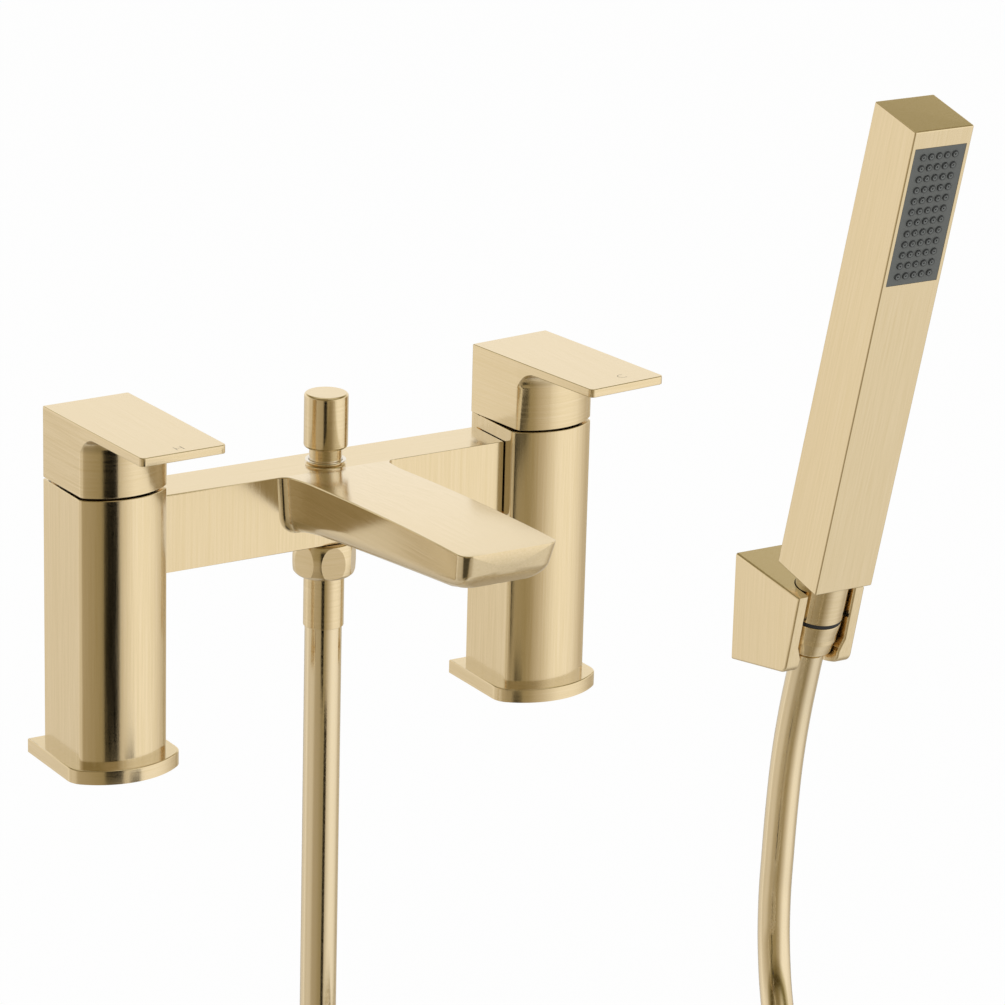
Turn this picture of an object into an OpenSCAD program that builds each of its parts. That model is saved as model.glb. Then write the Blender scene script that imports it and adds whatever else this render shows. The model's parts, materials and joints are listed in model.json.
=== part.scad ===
// Deck bath shower mixer: two valve pillars joined by a bridge with a spout,
// a lift-up diverter, and a hose to a square handset in a wall bracket.
// Origin: midway between the two inlets, on the deck. +X to the cold side,
// -Y to the bath, +Z up. Millimetres.

/* [Pillars] */
// Distance between the two inlets
inlet_pitch = 180; // [160:1:200]
// Width of a pillar, side to side
pillar_w = 35; // [33:0.5:40]
// Depth of a pillar, back to the crown of its front
pillar_d = 35.8; // [34:0.1:42]
// Height of a pillar above the deck
pillar_top = 106.2; // [100:0.1:120]
// Radius of the bowed front
nose_r = 25.9; // [24:0.1:34]
// Radius where the bowed front meets a flat side
front_corner_r = 3; // [2:0.1:4]
// Thickness of the flange under a pillar
flange_t = 5.4; // [4:0.1:8]
// How far the flange stands out past the pillar
flange_grow = 4.7; // [3:0.1:8]
// Thickness of the rubber seal let into the flange
base_seal_t = 1.2; // [0.8:0.1:2]
// Tapping radius of the threaded inlet
inlet_r = 12.06; // [9:0.01:12.1]
// Depth of the threaded inlet
inlet_depth = 16; // [10:0.5:22]
// Radius of the water passages
passage_r = 4.5; // [3.5:0.1:5]

/* [Valves] */
// Radius of the hole that holds a valve
valve_hole_r = 11; // [10.5:0.1:12]
// Height of the valve seat above the deck
valve_seat_z = 60; // [52:0.5:64]
// Radius of the ceramic discs
disc_r = 7.5; // [6.5:0.1:7.8]
// Thickness of one ceramic disc
disc_t = 3.5; // [2.5:0.1:4.5]
// Radius of the spindle
spindle_r = 4; // [3:0.1:4.5]
// Thickness of the valve seat seal
seat_seal_t = 2; // [1:0.1:3]

/* [Levers] */
// Gap between a lever and its pillar
lever_gap = 0.8; // [0.5:0.1:1.5]
// Height of the flat top above the deck
lever_top = 133.7; // [130:0.1:145]
// Reach of the lever tip from the valve axis
lever_reach = 53.6; // [45:0.1:75]
// Width of the lever at its tip
lever_tip_w = 32.7; // [24:0.1:33]
// Thickness of the plate at its tip
plate_tip_t = 2.6; // [2:0.1:4]
// Thickness of the plate beside the skirt
plate_root_t = 3.3; // [3:0.1:5]
// Wall of the hollow skirt
skirt_wall = 2.4; // [2:0.1:3]
// Radius of the cove between the skirt and the plate
cove_r = 7; // [4:0.1:8]
// Angle of the hot lever on its spindle
hot_lever_set = 2; // [0:0.5:8]
// Angle of the cold lever on its spindle
cold_lever_set = 6; // [0:0.5:8]

/* [Bridge and spout] */
// Depth of the bridge, front to back
bridge_d = 21.1; // [20:0.1:24]
// Set-back of the bridge from the back of the pillars
bridge_setback = 2.8; // [1.5:0.1:4]
// Height of the bridge top above the deck
bridge_top = 101; // [98:0.1:103]
// Height of the bridge itself
bridge_h = 29.5; // [28:0.1:31]
// Gap between the bridge and a pillar
joint_gap = 0.5; // [0.3:0.1:0.8]
// Reach of the spout tip from the inlet line
spout_reach = 129; // [110:1:150]
// Width of the spout
spout_w = 39.4; // [38:0.1:42]
// Extra width on each side where the spout leaves the bridge
spout_flare = 2.1; // [1:0.1:3]
// Length over which the spout narrows from the bridge
spout_flare_len = 16; // [10:1:24]
// Rise of the spout top from the bridge to the tip
spout_rise = 5.8; // [3:0.1:7]
// Height of the spout where it leaves the bridge
spout_root_h = 22.5; // [21:0.1:24]
// Height of the spout tip
spout_tip_h = 14.6; // [13:0.1:17]
// Radius of the spout's lower edges
spout_edge_r = 8; // [6:0.1:9]
// How much narrower each side is at its foot than at the top
spout_taper = 1; // [0:0.1:2]
// Radius of the tip's corners, seen from above
tip_corner_r = 4; // [2:0.1:6]
// How far the tip's front face leans back
tip_lean = 8; // [2:0.1:8]
// Distance of the outlet from the tip
outlet_inset = 20; // [18:0.5:26]
// Radius of the outlet thread
outlet_r = 9.25; // [8:0.05:9.5]

/* [Diverter] */
// Distance of the diverter axis behind the inlet line
diverter_y = 2.2; // [1.5:0.1:3]
// Radius of the knob
knob_r = 8.2; // [7.5:0.1:10]
// Height of the knob
knob_h = 20.6; // [14:0.1:26]
// Bare neck between the ring and the knob at rest
knob_neck_h = 4.8; // [4.5:0.1:7]
// Radius of the neck
neck_r = 6.1; // [5.8:0.05:6.2]
// Lift of the knob
diverter_lift = 6; // [4:0.5:6]
// Height of the bright ring above the bridge
rim_h = 1.6; // [1:0.1:2.5]
// Radius of the diverter stem
stem_r = 2.45; // [2:0.05:2.6]

/* [Hose] */
// Outer radius of the hose
hose_r = 7; // [6:0.1:7]
// Bore radius of the hose ends
hose_bore_r = 4; // [3:0.1:4.2]
// Radius of the thread on the shower outlet
half_inch_r = 10.45; // [10:0.01:10.48]
// Width of the hose nut across its flats
nut_flats = 23; // [22.6:0.1:25]
// Height of the hose nut
nut_h = 15.9; // [13:0.1:18]
// How far the nut's barrel stands out past its flats
nut_crown = 0.9; // [0.5:0.1:1.5]
// Length of the sleeve below the nut
sleeve_len = 17.4; // [12:0.1:24]
// Wall of the sleeve outside the hose
sleeve_wall = 0.6; // [0.4:0.1:1.2]

/* [Handset] */
// Width of the handset
handset_w = 29; // [27:0.5:34]
// Depth of the handset
handset_d = 28.5; // [26:0.5:34]
// Length of the handset without its neck
handset_len = 215; // [200:1:240]
// Wall of the handset
handset_wall = 1.8; // [1.5:0.1:2.5]
// Forward tilt of the handset in its bracket
handset_tilt = 13.8; // [10:0.1:16]
// Width of the spray plate
spray_w = 25; // [24:0.5:25]
// Length of the spray plate
spray_len = 61.4; // [60:0.1:70]
// Distance of the spray plate from the top
spray_inset = 7.8; // [5:0.1:12]
// Distance between nozzle columns
nozzle_pitch_x = 3.9; // [3.6:0.1:4.2]
// Distance between nozzle rows
nozzle_pitch_z = 4.85; // [4.2:0.05:5]
// Radius of a nozzle
nozzle_r = 1.45; // [1:0.05:1.6]
// Radius of the handset neck
handset_neck_r = 11.3; // [11.2:0.1:12]
// Length of the handset neck
handset_neck_len = 19; // [14:0.5:22]
// Thickness of the dark ring below the neck
neck_ring_t = 2; // [1:0.1:3]
// Length of the conical nut
cone_len = 15; // [12:0.5:18]
// Radius of the conical nut at its narrow end
cone_end_r = 9.2; // [8.6:0.1:10]

/* [Wall bracket] */
// Distance of the bracket axis from the middle of the mixer
bracket_x = 280; // [240:1:280]
// Distance of the wall behind the inlet line
wall_y = 111; // [105:1:111]
// Width of the bracket
bracket_w = 34; // [33:0.5:38]
// Height of the bracket at the wall
bracket_h = 48; // [44:0.5:52]
// Depth of the bracket at its top
bracket_depth = 46.8; // [44:0.1:50]
// Slack between the slot and the handset's neck
slot_slack = 0.4; // [0.3:0.05:0.8]
// Distance between the two wall screws
wall_screw_pitch = 24; // [20:1:26]
// Radius of a wall screw hole
wall_hole_r = 2.25; // [1.8:0.05:2.5]

/* [Hidden] */
$fn = 96;

gold = "#d9bf8f";
brass = "#b8975a";
white_ceramic = "#f2f0ea";
black_rubber = "#26262a";
grey_plastic = "#5c5f62";
pale_plastic = "#d8d8d4";
steel = "#a9abae";

// Clearance of parts that are screwed or pressed together
fit = 0.05;
// Clearance of flat faces that slide on each other
face_gap = 0.05;
// Overlap of a cut past the face that it opens
over = 1;

// Pillars
nose_y = nose_r - pillar_d / 2;
spigot_r = inlet_r + 1.5;

// Bridge
bridge_back = pillar_d / 2 - bridge_setback;
bridge_front = bridge_back - bridge_d;
bridge_bottom = bridge_top - bridge_h;
bridge_half = inlet_pitch / 2 - pillar_w / 2 - joint_gap;
bridge_mid_y = (bridge_front + bridge_back) / 2;
port_z = bridge_bottom + 10;
union_r = passage_r + 1.5;
union_depth = 5;
union_seal_in = union_r + 0.8;
union_seal_out = union_seal_in + 1.8;
union_seal_groove = 1;

// Valves, from the seat upwards
disc_z = valve_seat_z + seat_seal_t;
moving_disc_z = disc_z + disc_t + face_gap;
carrier_z = moving_disc_z + disc_t + face_gap;
carrier_t = 3.5;
gland_z = port_z + passage_r + 3;
thread_z = gland_z + 3;
collar_t = 2.6;
collar_r = pillar_w / 2 - skirt_wall - 2.1;
gland_len = 3.2;
gland_r = spindle_r + 3;
gland_top = pillar_top + collar_t + gland_len;
spindle_seal_z = pillar_top - 8;
spindle_seal_h = 2.4;
spindle_groove_r = spindle_r - 1;

// Levers
lever_bottom = pillar_top + lever_gap;
plate_under_z = lever_top - plate_root_t;
skirt_front_y = -pillar_d / 2 + 6;
hollow_top = plate_under_z - 1;
boss_r = spindle_r + 3.5;
boss_bottom = gland_top + 0.5;
spindle_top = lever_top - 12;
lever_screw_z = boss_bottom + 5;
lever_screw_r = 2;
lever_screw_len = 6;

// Diverter, from the seat upwards
cage_floor = bridge_bottom + 4.5;
bush_floor = bridge_top - 9;
neck_floor = bush_floor + 2;
cage_r = neck_r + 0.65;
cage_in_r = cage_r - 1.35;
bush_r = neck_r + fit + 1;
rim_r = bush_r + 0.55;
rim_top = bridge_top + rim_h;
knob_z = rim_top + knob_neck_h;
neck_bottom = neck_floor + 0.3;
neck_seal_z = neck_bottom + 1;
neck_seal_h = 1.4;
plunger_z = cage_floor + 1.5;
plunger_t = 2.5;
plunger_r = cage_in_r - 0.08;
stem_top = knob_z + 5;
spring_wire_r = 0.4;
spring_r = stem_r + 1.3;
spring_turns = 5;

// Spout
outlet_y = -spout_reach + outlet_inset;
outlet_depth = 7.5;

// Shower outlet below the bridge, downwards
nut_top = bridge_bottom - 0.4;
nut_bottom = nut_top - nut_h;
nut_floor = nut_bottom + 3;
nut_mid_z = (nut_bottom + nut_top) / 2;
nut_r = nut_flats / 2 + nut_crown;
nut_barrel_r = 26;
nut_corner_r = 4;
nut_turn = -11.2;
sleeve_flange_t = 1.5;
washer_t = 2;
washer_z = nut_floor + sleeve_flange_t;
nipple_bottom = washer_z + washer_t;
nipple_spigot_r = cage_in_r + 1;
nipple_bore_r = 4.2;
check_valve_r = 6.5;
check_valve_len = 7.5;
sleeve_r = hose_r + sleeve_wall;
sleeve_bottom = nut_bottom - sleeve_len;

// Handset, in its own frame: origin at the middle of its lower end
ring_z = -handset_neck_len - neck_ring_t;
neck_groove_r = half_inch_r - 1;
cone_z = ring_z - cone_len;
cone_taper_len = cone_len - 9;
thread_end = cone_z + cone_taper_len;
cone_floor = cone_z + 2.2;
ferrule_r = hose_r - 0.4;
ferrule_flange_t = 1.5;
ferrule_end = cone_z - 2;
handset_foot = [bracket_x, wall_y - 40.8, -8.1];
cap_t = 2;
cap_lip = 3;
spray_top = handset_len - spray_inset;
spray_bottom = spray_top - spray_len;
spray_plate_t = 2.2;
nozzle_cols = 5;
nozzle_rows = 12;
nozzle_proud = 0.7;

// Bracket, in the plane across the wall
bracket_top_z = -8.8;
bracket_nose_drop = 6;
bracket_foot_depth = 39;
bracket_foot_lift = 6.4;
plate_pocket = [24, 14, 34];
plate_pocket_z = bracket_top_z - bracket_h / 2 - plate_pocket[2] / 2;
plate_slack = 0.2;
plate_tab = [12, 6, 6];
wall_plate_t = 4;
bracket_screw_r = 2;
bracket_screw_y = wall_y - wall_plate_t - plate_tab[1] / 2;

// Hose route, in round numbers
floor_z = -230;
coil_mid = [88, -112];
coil_in_r = 78;
coil_step = 14.4;
coil_inmost = 250;
coil_layer = 14.6;
coil_turn = 515.8;
coil_low = floor_z + hose_r;
coil_high = coil_low + coil_layer;
bend_r = 60;
exit_dir = [cos(65.8), sin(65.8)];
exit_run = 259;

module rod(r, z0, z1) {
    translate([0, 0, z0]) cylinder(r = r, h = z1 - z0);
}

module ring(r_out, r_in, z0, z1) {
    difference() {
        rod(r_out, z0, z1);
        rod(r_in, z0 - over, z1 + over);
    }
}

module on_hot() {
    translate([-inlet_pitch / 2, 0, 0]) children();
}

module on_cold() {
    translate([inlet_pitch / 2, 0, 0]) mirror([1, 0, 0]) children();
}

module on_diverter() {
    translate([0, diverter_y, 0]) children();
}

module on_handset() {
    translate(handset_foot) rotate([handset_tilt, 0, 0]) children();
}

// Plan of a pillar: flat back and sides, bowed front. grow sets the outline
// out for the flange and in for the hollow of a lever.
module pillar_plan(grow = 0) {
    half = pillar_w / 2 + grow;
    arc = nose_r + grow;
    corner = max(front_corner_r + grow, 0.4);
    corner_y = nose_y - sqrt(pow(arc - corner, 2) - pow(half - corner, 2));
    reach = 2 * arc / (arc - corner);
    wedge_x = (half - corner) * reach;
    wedge_y = nose_y + (corner_y - nose_y) * reach;
    translate([-half, corner_y]) square([2 * half, pillar_d / 2 + grow - corner_y]);
    for (side = [-1, 1]) translate([side * (half - corner), corner_y]) circle(corner);
    intersection() {
        translate([0, nose_y]) circle(arc);
        polygon([[0, nose_y], [-wedge_x, wedge_y], [wedge_x, wedge_y]]);
    }
}

module pillar() {
    color(gold) difference() {
        union() {
            translate([0, 0, flange_t]) linear_extrude(pillar_top - flange_t) pillar_plan();
            rod(spigot_r, 0, flange_t + over);
        }
        rod(inlet_r, -over, inlet_depth);
        rod(disc_r - 0.5, over, valve_seat_z + over);
        rod(valve_hole_r, valve_seat_z, pillar_top + over);
        translate([0, bridge_mid_y, port_z]) rotate([0, 90, 0]) cylinder(r = passage_r, h = pillar_w);
        translate([pillar_w / 2 - union_depth, bridge_mid_y, port_z]) rotate([0, 90, 0])
            cylinder(r = union_r, h = union_depth + over);
    }
}

module flange() {
    color(gold) difference() {
        linear_extrude(flange_t) pillar_plan(flange_grow);
        rod(spigot_r + fit, -over, flange_t + over);
        translate([0, 0, -over]) linear_extrude(base_seal_t + over) pillar_plan(flange_grow - 2.5);
    }
}

module base_seal() {
    color(black_rubber) difference() {
        linear_extrude(base_seal_t) pillar_plan(flange_grow - 2.5 - fit);
        rod(spigot_r + 0.5, -over, base_seal_t + over);
    }
}

// Brass headwork: a sleeve that holds the discs, a thread and a gland
module valve_body() {
    color(brass) difference() {
        union() {
            rod(disc_r + 2.1, disc_z, thread_z);
            rod(valve_hole_r - fit, thread_z, pillar_top);
            rod(collar_r, pillar_top, pillar_top + collar_t);
            rod(gland_r, pillar_top, gland_top);
        }
        rod(disc_r + 0.1, disc_z - over, gland_z);
        rod(spindle_r + fit, disc_z, gland_top + over);
        translate([0, 0, port_z]) rotate([0, 90, 0]) cylinder(r = passage_r, h = 40, center = true);
    }
}

module seat_seal() {
    color(black_rubber) ring(disc_r + 1.8, disc_r - 2, valve_seat_z, disc_z);
}

// Two round ports let the water through a ceramic disc
module ceramic_disc(z) {
    color(white_ceramic) difference() {
        rod(disc_r, z, z + disc_t);
        for (side = [-1, 1]) translate([0, side * disc_r / 2, 0])
            rod(disc_r / 3.4, z - over, z + disc_t + over);
    }
}

module spindle() {
    color(brass) difference() {
        union() {
            rod(disc_r - 0.1, carrier_z, carrier_z + carrier_t);
            rod(spindle_r, carrier_z, spindle_top);
        }
        for (side = [-1, 1]) translate([0, side * disc_r, 0])
            rod(disc_r / 3, carrier_z - over, carrier_z + carrier_t + over);
        difference() {
            rod(spindle_r + over, spindle_seal_z, spindle_seal_z + spindle_seal_h);
            rod(spindle_groove_r, spindle_seal_z - over, spindle_seal_z + spindle_seal_h + over);
        }
    }
}

module spindle_seal() {
    z0 = spindle_seal_z + 0.2;
    color(black_rubber) ring(spindle_r + 0.02, spindle_groove_r + 0.02, z0, z0 + spindle_seal_h - 0.4);
}

// Side view of the plate: flat top, thinner at the tip, a cove at the skirt
module plate_side() {
    cove_y = skirt_front_y - cove_r;
    cove_z = plate_under_z - cove_r;
    polygon(concat(
        [[pillar_d / 2, lever_top], [-lever_reach, lever_top], [-lever_reach, lever_top - plate_tip_t]],
        [for (a = [90:-15:0]) [cove_y + cove_r * cos(a), cove_z + cove_r * sin(a)]],
        [[pillar_d / 2, cove_z]]
    ));
}

module lever() {
    color(gold) difference() {
        union() {
            difference() {
                union() {
                    translate([0, 0, lever_bottom])
                        linear_extrude(plate_under_z - lever_bottom) pillar_plan();
                    intersection() {
                        translate([pillar_w / 2, 0, 0]) rotate([90, 0, -90])
                            linear_extrude(pillar_w) mirror([1, 0, 0]) plate_side();
                        linear_extrude(lever_top) polygon([
                            [-pillar_w / 2, pillar_d / 2], [pillar_w / 2, pillar_d / 2],
                            [lever_tip_w / 2, -lever_reach], [-lever_tip_w / 2, -lever_reach]
                        ]);
                    }
                }
                translate([0, 0, lever_bottom - over])
                    linear_extrude(hollow_top - lever_bottom + over) pillar_plan(-skirt_wall);
            }
            rod(boss_r, boss_bottom, hollow_top + 0.5);
            translate([0, 0, lever_screw_z]) rotate([-90, 0, 0])
                cylinder(r = lever_screw_r + 1.8, h = pillar_d / 2 - skirt_wall / 2);
        }
        rod(spindle_r + fit, boss_bottom - over, spindle_top + 0.3);
        translate([0, 0, lever_screw_z]) rotate([-90, 0, 0])
            cylinder(r = lever_screw_r + fit, h = pillar_d / 2 + over);
    }
}

module lever_screw() {
    color(steel) translate([0, spindle_r + 0.1, lever_screw_z]) rotate([-90, 0, 0]) difference() {
        cylinder(r = lever_screw_r, h = lever_screw_len);
        translate([0, 0, lever_screw_len - 2.4]) cylinder(r = 1.15, h = 3, $fn = 6);
    }
}

// Sections of the spout. Each is a rounded trough under a flat top, drawn
// from left to right. The tip's corners are rounded and its front leans back.
function spout_share(y) = max(0, (bridge_front - y) / (spout_reach + bridge_front));
function spout_half(y) =
    spout_w / 2 + spout_flare * pow(max(0, 1 - (bridge_front - y) / spout_flare_len), 2);
function spout_top(y) = bridge_top + spout_rise * (1 - pow(1 - spout_share(y), 1.7));
function spout_bottom(y) =
    bridge_top - spout_root_h + (spout_rise + spout_root_h - spout_tip_h) * pow(spout_share(y), 0.9);
function trough(y, inset, lean) =
    let (
        half = spout_half(y) - inset,
        low = spout_bottom(y),
        r = spout_edge_r,
        right = concat(
            [for (a = [-90:15:0]) [half - spout_taper - r + r * cos(a), low + r * (1 + sin(a))]],
            [[half, spout_top(y)]]
        ),
        left = [for (i = [len(right) - 1:-1:0]) [-right[i][0], right[i][1]]]
    )
    [for (p = concat(left, right)) [p[0], y + lean * (spout_top(y) - p[1]) / (spout_top(y) - low), p[1]]];
spout_body_len = spout_reach + bridge_front - tip_corner_r - tip_lean - 3;
spout_stations = concat(
    [bridge_front + 3],
    [for (k = [0:4]) bridge_front - spout_flare_len * k / 4],
    [for (k = [1:5]) bridge_front - spout_flare_len - (spout_body_len - spout_flare_len) * k / 5]
);

// Joins rings of points into one closed solid of triangles
module loft(rings) {
    n = len(rings[0]);
    last = len(rings) - 1;
    polyhedron(
        points = [for (r = rings) each r],
        faces = concat(
            [for (i = [0:last - 1], k = [0:n - 1]) [i * n + k, (i + 1) * n + k, (i + 1) * n + (k + 1) % n]],
            [for (i = [0:last - 1], k = [0:n - 1])
                [i * n + k, (i + 1) * n + (k + 1) % n, i * n + (k + 1) % n]],
            [for (k = [1:n - 2]) [0, k, k + 1]],
            [for (k = [1:n - 2]) [last * n, last * n + k + 1, last * n + k]]
        )
    );
}

module spout_form() {
    loft(concat(
        [for (y = spout_stations) trough(y, 0, 0)],
        [for (a = [0:22.5:90])
            trough(-spout_reach + tip_corner_r * (1 - sin(a)), tip_corner_r * (1 - cos(a)), tip_lean)]
    ));
}

module bridge_spout() {
    channel_start = [0, diverter_y, bush_floor - passage_r];
    channel_end = [0, outlet_y, spout_bottom(outlet_y) + outlet_depth - 1.5];
    run = channel_end - channel_start;
    color(gold) difference() {
        union() {
            translate([-bridge_half, bridge_front, bridge_bottom])
                cube([2 * bridge_half, bridge_d, bridge_h]);
            spout_form();
        }
        translate([-bridge_half - over, bridge_mid_y, port_z]) rotate([0, 90, 0])
            cylinder(r = passage_r, h = 2 * bridge_half + 2 * over);
        for (side = [-1, 1]) translate([side * bridge_half, bridge_mid_y, port_z])
            rotate([0, -90 * side, 0]) {
            translate([0, 0, -over]) cylinder(r = union_r, h = union_depth + over);
            translate([0, 0, -over]) difference() {
                cylinder(r = union_seal_out, h = union_seal_groove + over);
                translate([0, 0, -over]) cylinder(r = union_seal_in, h = union_seal_groove + 3 * over);
            }
        }
        on_diverter() {
            rod(nipple_spigot_r, bridge_bottom - over, cage_floor + 0.1);
            rod(cage_r, cage_floor, bush_floor + over);
            rod(bush_r + fit, bush_floor, bridge_top + over);
        }
        translate(channel_start) rotate([acos(run[2] / norm(run)), 0, 0])
            cylinder(r = passage_r, h = norm(run));
        translate([0, outlet_y, spout_bottom(outlet_y) - 3]) cylinder(r = outlet_r, h = outlet_depth + 3);
    }
}

// Hollow brass nipples that join the bridge to the pillars
module union_nipples() {
    color(brass) for (side = [-1, 1])
        translate([side * (bridge_half + joint_gap / 2), bridge_mid_y, port_z]) rotate([0, 90, 0])
            difference() {
                cylinder(r = union_r - fit, h = 2 * union_depth, center = true);
                cylinder(r = passage_r - 1, h = 3 * union_depth, center = true);
            }
}

module union_seals() {
    color(black_rubber) for (side = [-1, 1])
        translate([side * (bridge_half - union_seal_groove), bridge_mid_y, port_z]) rotate([0, 90 * side, 0])
            difference() {
                cylinder(r = union_seal_out - fit, h = union_seal_groove + joint_gap);
                translate([0, 0, -over])
                    cylinder(r = union_seal_in + fit, h = union_seal_groove + joint_gap + 2 * over);
            }
}

module diverter_knob() {
    color(gold) on_diverter() difference() {
        union() {
            rod(knob_r, knob_z + 0.6, knob_z + knob_h - 0.6);
            translate([0, 0, knob_z]) cylinder(r1 = knob_r - 0.6, r2 = knob_r, h = 0.6);
            translate([0, 0, knob_z + knob_h - 0.6]) cylinder(r1 = knob_r, r2 = knob_r - 0.6, h = 0.6);
            rod(neck_r, neck_bottom, knob_z + over);
        }
        rod(stem_r + fit, neck_bottom - over, stem_top + 0.2);
        difference() {
            rod(neck_r + over, neck_seal_z, neck_seal_z + neck_seal_h);
            rod(neck_r - 1, neck_seal_z - over, neck_seal_z + neck_seal_h + over);
        }
    }
}

module diverter_neck_seal() {
    color(black_rubber) on_diverter()
        ring(neck_r + 0.02, neck_r - 0.98, neck_seal_z + 0.1, neck_seal_z + neck_seal_h - 0.1);
}

module diverter_stem() {
    color(steel) on_diverter() rod(stem_r, plunger_z + 0.5, stem_top);
}

// Screwed guide with the bright ring that shows round the neck
module diverter_bush() {
    color(gold) on_diverter() difference() {
        union() {
            rod(bush_r, bush_floor, bridge_top + 0.1);
            rod(rim_r, bridge_top, rim_top);
        }
        rod(neck_r + fit, neck_floor, rim_top + over);
        rod(stem_r + fit, bush_floor - over, neck_floor + over);
    }
}

// Plastic sleeve that guides the plunger, open to the bridge and the spout
module diverter_cage() {
    color(pale_plastic) on_diverter() difference() {
        ring(cage_r - fit, cage_in_r, cage_floor + 0.1, bush_floor);
        translate([0, bridge_mid_y - diverter_y, port_z]) rotate([0, 90, 0])
            cylinder(r = passage_r - 0.5, h = 4 * cage_r, center = true);
        translate([0, 0, bush_floor - passage_r]) rotate([90, 0, 0])
            cylinder(r = passage_r - 0.5, h = 2 * cage_r);
    }
}

module diverter_plunger() {
    color(brass) on_diverter() ring(plunger_r, stem_r + fit, plunger_z, plunger_z + plunger_t);
}

module diverter_plunger_seal() {
    color(black_rubber) on_diverter() rod(plunger_r - 0.2, cage_floor + 0.15, plunger_z);
}

// One unbroken tube along a list of points. side is a direction that no
// stretch of the route runs along.
function unit(v) = v / norm(v);
function along(p, i) = unit(p[min(i + 1, len(p) - 1)] - p[max(i - 1, 0)]);
function tube_ring(c, t, side, r, n) =
    let (s = unit(cross(side, t)), u = cross(t, s))
    [for (k = [0:n - 1]) c + r * (cos(360 * k / n) * s + sin(360 * k / n) * u)];
function tube_rings(p, side, r, n) =
    [for (i = [0:len(p) - 1]) tube_ring(p[i], along(p, i), side, r, n)];

module tube(p, side, r, n) {
    loft(tube_rings(p, side, r, n));
}

spring_z = plunger_z + plunger_t + spring_wire_r + 0.1;
spring_len = bush_floor - spring_z - spring_wire_r - 0.1;
spring_steps = 8 * spring_turns;

module diverter_spring() {
    color(steel) on_diverter() tube(
        [for (i = [0:spring_steps]) [
            spring_r * cos(45 * i), spring_r * sin(45 * i), spring_z + spring_len * i / spring_steps
        ]],
        [0, 0, 1], spring_wire_r, 6
    );
}

module aerator_shell() {
    z0 = spout_bottom(outlet_y) + 0.6;
    color(gold) translate([0, outlet_y, 0])
        ring(outlet_r - fit, outlet_r - 1.4, z0, z0 + outlet_depth - 1);
}

module aerator_insert() {
    z0 = spout_bottom(outlet_y) + 1.6;
    r = outlet_r - 1.4 - fit;
    color(pale_plastic) translate([0, outlet_y, 0]) difference() {
        rod(r, z0, z0 + outlet_depth - 2.4);
        rod(r / 6, z0 - over, z0 + outlet_depth);
        for (a = [0:60:300]) rotate(a) translate([r * 0.4, 0, 0]) rod(r / 7, z0 - over, z0 + outlet_depth);
        for (a = [15:30:345]) rotate(a) translate([r * 0.76, 0, 0]) rod(r / 7, z0 - over, z0 + outlet_depth);
    }
}

module shower_nipple() {
    color(brass) on_diverter() difference() {
        union() {
            rod(half_inch_r - fit, nipple_bottom, bridge_bottom);
            rod(nipple_spigot_r - fit, bridge_bottom - over, cage_floor);
        }
        rod(nipple_bore_r, nipple_bottom - over, cage_floor + over);
        rod(check_valve_r + fit, nipple_bottom - over, nipple_bottom + check_valve_len + 0.3);
    }
}

module check_valve() {
    color(pale_plastic) on_diverter() difference() {
        rod(check_valve_r, nipple_bottom + 0.1, nipple_bottom + check_valve_len);
        for (a = [0:60:300]) rotate(a) translate([check_valve_r * 0.6, 0, 0])
            rod(check_valve_r / 5, nipple_bottom - over, nipple_bottom + check_valve_len + over);
    }
}

// Half section of the nut: a barrel with a round corner at its foot
module nut_section() {
    foot_r = nut_r - pow(nut_h / 2 - nut_corner_r, 2) / (2 * nut_barrel_r);
    intersection() {
        translate([nut_r - nut_barrel_r, nut_mid_z]) circle(nut_barrel_r);
        translate([0, nut_bottom]) square([nut_r + over, nut_h]);
        union() {
            translate([0, nut_bottom + nut_corner_r]) square([nut_r + over, nut_h]);
            translate([0, nut_bottom]) square([foot_r - nut_corner_r, nut_h]);
            translate([foot_r - nut_corner_r, nut_bottom + nut_corner_r]) circle(nut_corner_r);
        }
    }
}

// Six flats cut into the barrel, each with a round outline
module hose_nut() {
    color(gold) on_diverter() difference() {
        intersection() {
            rotate_extrude() nut_section();
            rotate(nut_turn) translate([0, 0, nut_bottom - over])
                cylinder(r = nut_flats / sqrt(3), h = nut_h + 2 * over, $fn = 6);
        }
        rod(half_inch_r, nut_floor, nut_top + over);
        rod(sleeve_r + 0.1, nut_bottom - over, nut_top);
    }
}

module hose_sleeve() {
    color(gold) on_diverter() difference() {
        union() {
            rod(sleeve_r, sleeve_bottom, washer_z);
            rod(half_inch_r - 0.3, nut_floor + 0.05, washer_z);
        }
        rod(hose_bore_r, sleeve_bottom - over, washer_z + over);
    }
}

module hose_washer() {
    color(black_rubber) on_diverter() ring(half_inch_r - 0.4, hose_bore_r, washer_z, nipple_bottom);
}

// Hose from the mixer: straight down, then a bend forward onto the coil
drop_points = concat(
    [for (z = [sleeve_bottom, 10, -20, -50, -80, -110, -135]) [0, diverter_y, z]],
    [for (a = [0:22.5:90]) [0, diverter_y - bend_r + bend_r * cos(a), coil_high + bend_r - bend_r * sin(a)]],
    [[0, -78, coil_high], [0, coil_mid[1] + 2 * hose_r, coil_high]]
);

// A loop and a half, inwards on the upper layer and out again on the lower.
// It lies in front of the mixer, clear of the way up to both inlets.
function coil_radius(a) = coil_in_r + coil_step * abs(a - coil_inmost) / 360;
function coil_blend(a) = let (s = min(1, max(0, (a - 160) / 180))) s * s * (3 - 2 * s);
function coil_point(a) = [
    coil_mid[0] - coil_radius(a) * cos(a),
    coil_mid[1] - coil_radius(a) * sin(a),
    coil_high - coil_layer * coil_blend(a)
];
coil_steps = 36;
coil_end = coil_point(coil_turn);
coil_points = concat(
    [[0, coil_mid[1] + 2 * hose_r, coil_high]],
    [for (i = [0:coil_steps]) coil_point(coil_turn * i / coil_steps)],
    [coil_end + 2 * hose_r * [exit_dir[0], exit_dir[1], 0]]
);

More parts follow.
